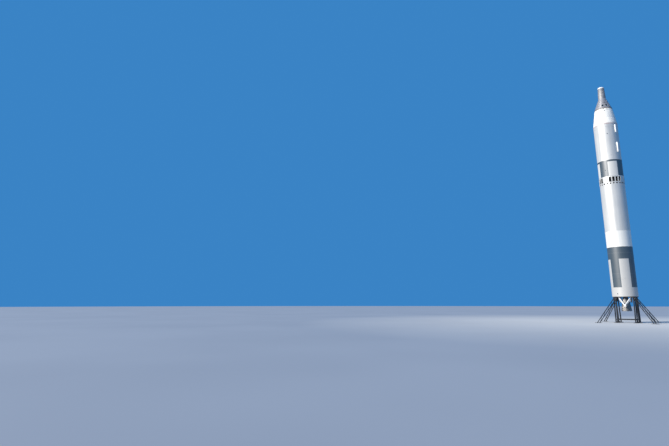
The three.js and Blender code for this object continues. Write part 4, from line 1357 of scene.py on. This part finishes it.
def add_pipe(mesh, points, radius, segments):
    """A pipe through points, with a ball at each elbow."""
    for start, end in pairwise(points):
        add_rod(mesh, start, end, radius, segments)
    for elbow in points[1:-1]:
        add_ball(mesh, elbow, radius * 1.02, segments)


def add_collar(mesh, start, end, share, half_wide, radius):
    """A collar round a tube, a share of the way along it."""
    middle = start.lerp(end, share)
    reach = (end - start).normalized() * half_wide
    add_rod(mesh, middle - reach, middle + reach, radius, STACK_SIDES)


for engine in ("front", "rear", "upper"):
    node = "cross_piece_" + engine
    mesh = copy_of(node)
    hard = [e for e in mesh.edges if len(e.link_faces) == 2 and e.calc_face_angle(0.0) > HARD_ANGLE]
    round_edges(mesh, hard, FORGED_EDGE, 1)
    finish_piece(mesh, node + "_forging", "engine_steel", [node], "cross_" + engine, 40)

for node, side in PUMPS:
    mesh = bmesh.new()
    centre = turned_place(side * PUMP_X, side * PUMP_Y, 0)
    axis = (centre.x, centre.y)
    turn(mesh, PUMP_LINE, *axis, PUMP_STEPS)
    for height in (3.74, 3.86, 3.98):
        add_hoop(mesh, PUMP_RADIUS, height, 0.024, 0.014, *axis, PUMP_STEPS)
    add_hoop(mesh, NECK, 4.19, 0.03, 0.03, *axis, PUMP_STEPS)
    add_hexagons(mesh, around(10), 0.107, 4.205, 0.008, 0.012, False, centre)
    start = turned_place(side * PUMP_X, side * PUMP_Y, 3.70)
    elbow = turned_place(side * 0.76, side * -0.4712, 3.56)
    foot = turned_place(side * 0.70, side * -0.38, 2.70)
    add_pipe(mesh, [start, elbow, foot], STACK_RADIUS, STACK_SIDES)
    for share in (0.25, 0.55, 0.97):
        add_collar(mesh, elbow, foot, share, 0.018, 0.088)
    finish_piece(mesh, node + "_casing", "engine_steel", [node])

for node in ("thrust_frame", "upper_thrust_frame"):
    paint_node(node, "frame_paint")

mesh = bmesh.new()
for side, across, along in product((-1, 1), (-0.05, 0.05), (0.25, 0.55, 1.05, 1.30)):
    for x, y in ((across, side * along), (side * along, across * 0.6)):
        add_stud(mesh, turned_place(x, y, FRAME_FACE), up(0.014), 0.012)
finish_piece(mesh, "frame_bolts", "engine_steel")

# %% [markdown]
# White tubes in a V hang from the black support ring outside each chamber. Their solids have the right
# shape, so their joined copies are shaded smooth, and pins and collars are added where the tubes meet the
# fitting and the ring.

# %% Struts and support ring
HUB_RADIUS = 1.56
HUB_HEIGHT = 2.33
STRUT_SPREAD = 34

for node in ("strut_front", "strut_rear"):
    copied_piece(node, "_tubes", "frame_paint")
copied_piece("support_ring", "_steel", "stand_paint")

mesh = bmesh.new()
for azimuth in (GROUND_TURN, GROUND_TURN + 180):
    for rise in (0.05, -0.12):
        pin = at(azimuth, HUB_RADIUS + 0.043, HUB_HEIGHT) + up(rise)
        add_stud(mesh, pin, at(azimuth, 0.014, 0), 0.028, 12)
    hub = at(azimuth, HUB_RADIUS, HUB_HEIGHT)
    for side, share in product((-1, 1), (0.16, 0.86)):
        add_collar(mesh, hub, at(azimuth + side * STRUT_SPREAD, 1.29, 3.45), share, 0.02, 0.073)
finish_piece(mesh, "strut_pins", "engine_steel")

mesh = bmesh.new()
add_hexagons(mesh, around(48, GROUND_TURN), 1.437, 3.408, 0.014, 0.014, False)
finish_piece(mesh, "ring_bolts", "bolt_steel")

# %% [markdown]
# The stand is black painted steel. A leg is a pair of posts with an eye plate on top, and a brace is a flat
# lattice that slopes out to its own foot. The solids carry those shapes, and their joined copies are shaded
# sharp along every bar's edge. Bolts, nuts and the pale bushing in each lifting eye are added to them.

# %% Legs, braces and tie beams
LEG_RADIUS = 1.60
FOOT_RADIUS = 4.60
BASE_TOP = 0.028
HALF_HEAD = 0.055
EYE_PLATE = 0.023
EYE_HEIGHT = 3.205
EYE_RADIUS = 0.096
EYE_STRAIGHT = 0.055
# An anchor is a washer, a nut and a bolt's end, or only the last two: height, radius and sides.
POST_ANCHOR = ((0.008, 0.040, 16), (0.034, 0.028, 6), (0.070, 0.014, 12))
FOOT_ANCHOR = ((0.030, 0.024, 6), (0.062, 0.012, 12))


def add_anchor(mesh, foot, anchor):
    for tall, radius, sides in anchor:
        add_stud(mesh, foot, up(tall), radius, sides)


def eye_ring(azimuth, radius):
    """Points round a lifting eye, which is a circle with short straight sides."""
    ring = []
    for step in range(25):
        angle = math.tau * step / 24
        rise = math.sin(angle)
        height = EYE_HEIGHT + (math.copysign(EYE_STRAIGHT, rise) if abs(rise) > 0.02 else 0)
        ring.append(beside(azimuth, radius, EYE_RADIUS * math.cos(angle), height + EYE_RADIUS * rise))
    return ring


for number in (1, 2, 3, 4):
    azimuth = GROUND_TURN + 45 + 90 * (number - 1)
    leg = "leg_%d" % number
    for node in (leg, "brace_%d" % number):
        copied_piece(node, "_steel", "stand_paint")

    mesh = bmesh.new()
    for across, outwards in product((-0.37, 0.37), (-0.17, 0.17)):
        add_anchor(mesh, beside(azimuth, LEG_RADIUS + outwards, across, BASE_TOP), POST_ANCHOR)
    for across, outwards in product((-0.16, 0.16), (-0.40, -0.13, 0.14)):
        add_anchor(mesh, beside(azimuth, FOOT_RADIUS + outwards, across, BASE_TOP), FOOT_ANCHOR)
    for side, across, height in product((-1, 1), (-0.18, 0.18), (3.03, 3.13, 3.40)):
        bolt = beside(azimuth, LEG_RADIUS + side * HALF_HEAD, across, height)
        add_stud(mesh, bolt, at(azimuth, side * 0.014, 0), 0.016)
    for across, height in product((-0.07, 0.07), (2.90, 3.04, 3.18, 3.30, 3.42)):
        bolt = beside(azimuth, LEG_RADIUS + HALF_HEAD + EYE_PLATE, across, height)
        add_stud(mesh, bolt, at(azimuth, 0.014, 0), 0.014)
    finish_piece(mesh, leg + "_bolts", "bolt_steel")

    mesh = bmesh.new()
    for side in (-1, 1):
        for start, end in pairwise(eye_ring(azimuth, LEG_RADIUS + side * 0.054)):
            add_rod(mesh, start, end, 0.011, 8)
    finish_piece(mesh, leg + "_eye_rim", "frame_paint")

for side in ("front", "right", "rear", "left"):
    copied_piece("tie_beam_" + side, "_steel", "stand_paint")

# %% [markdown]
# Last, the size of the dressed rocket and the number of new triangles are printed.

# %% Sizes and the end
low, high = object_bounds()
print("dressed model from", tuple(low), "to", tuple(high), "with", sum(TRIANGLES.values()), "new triangles")
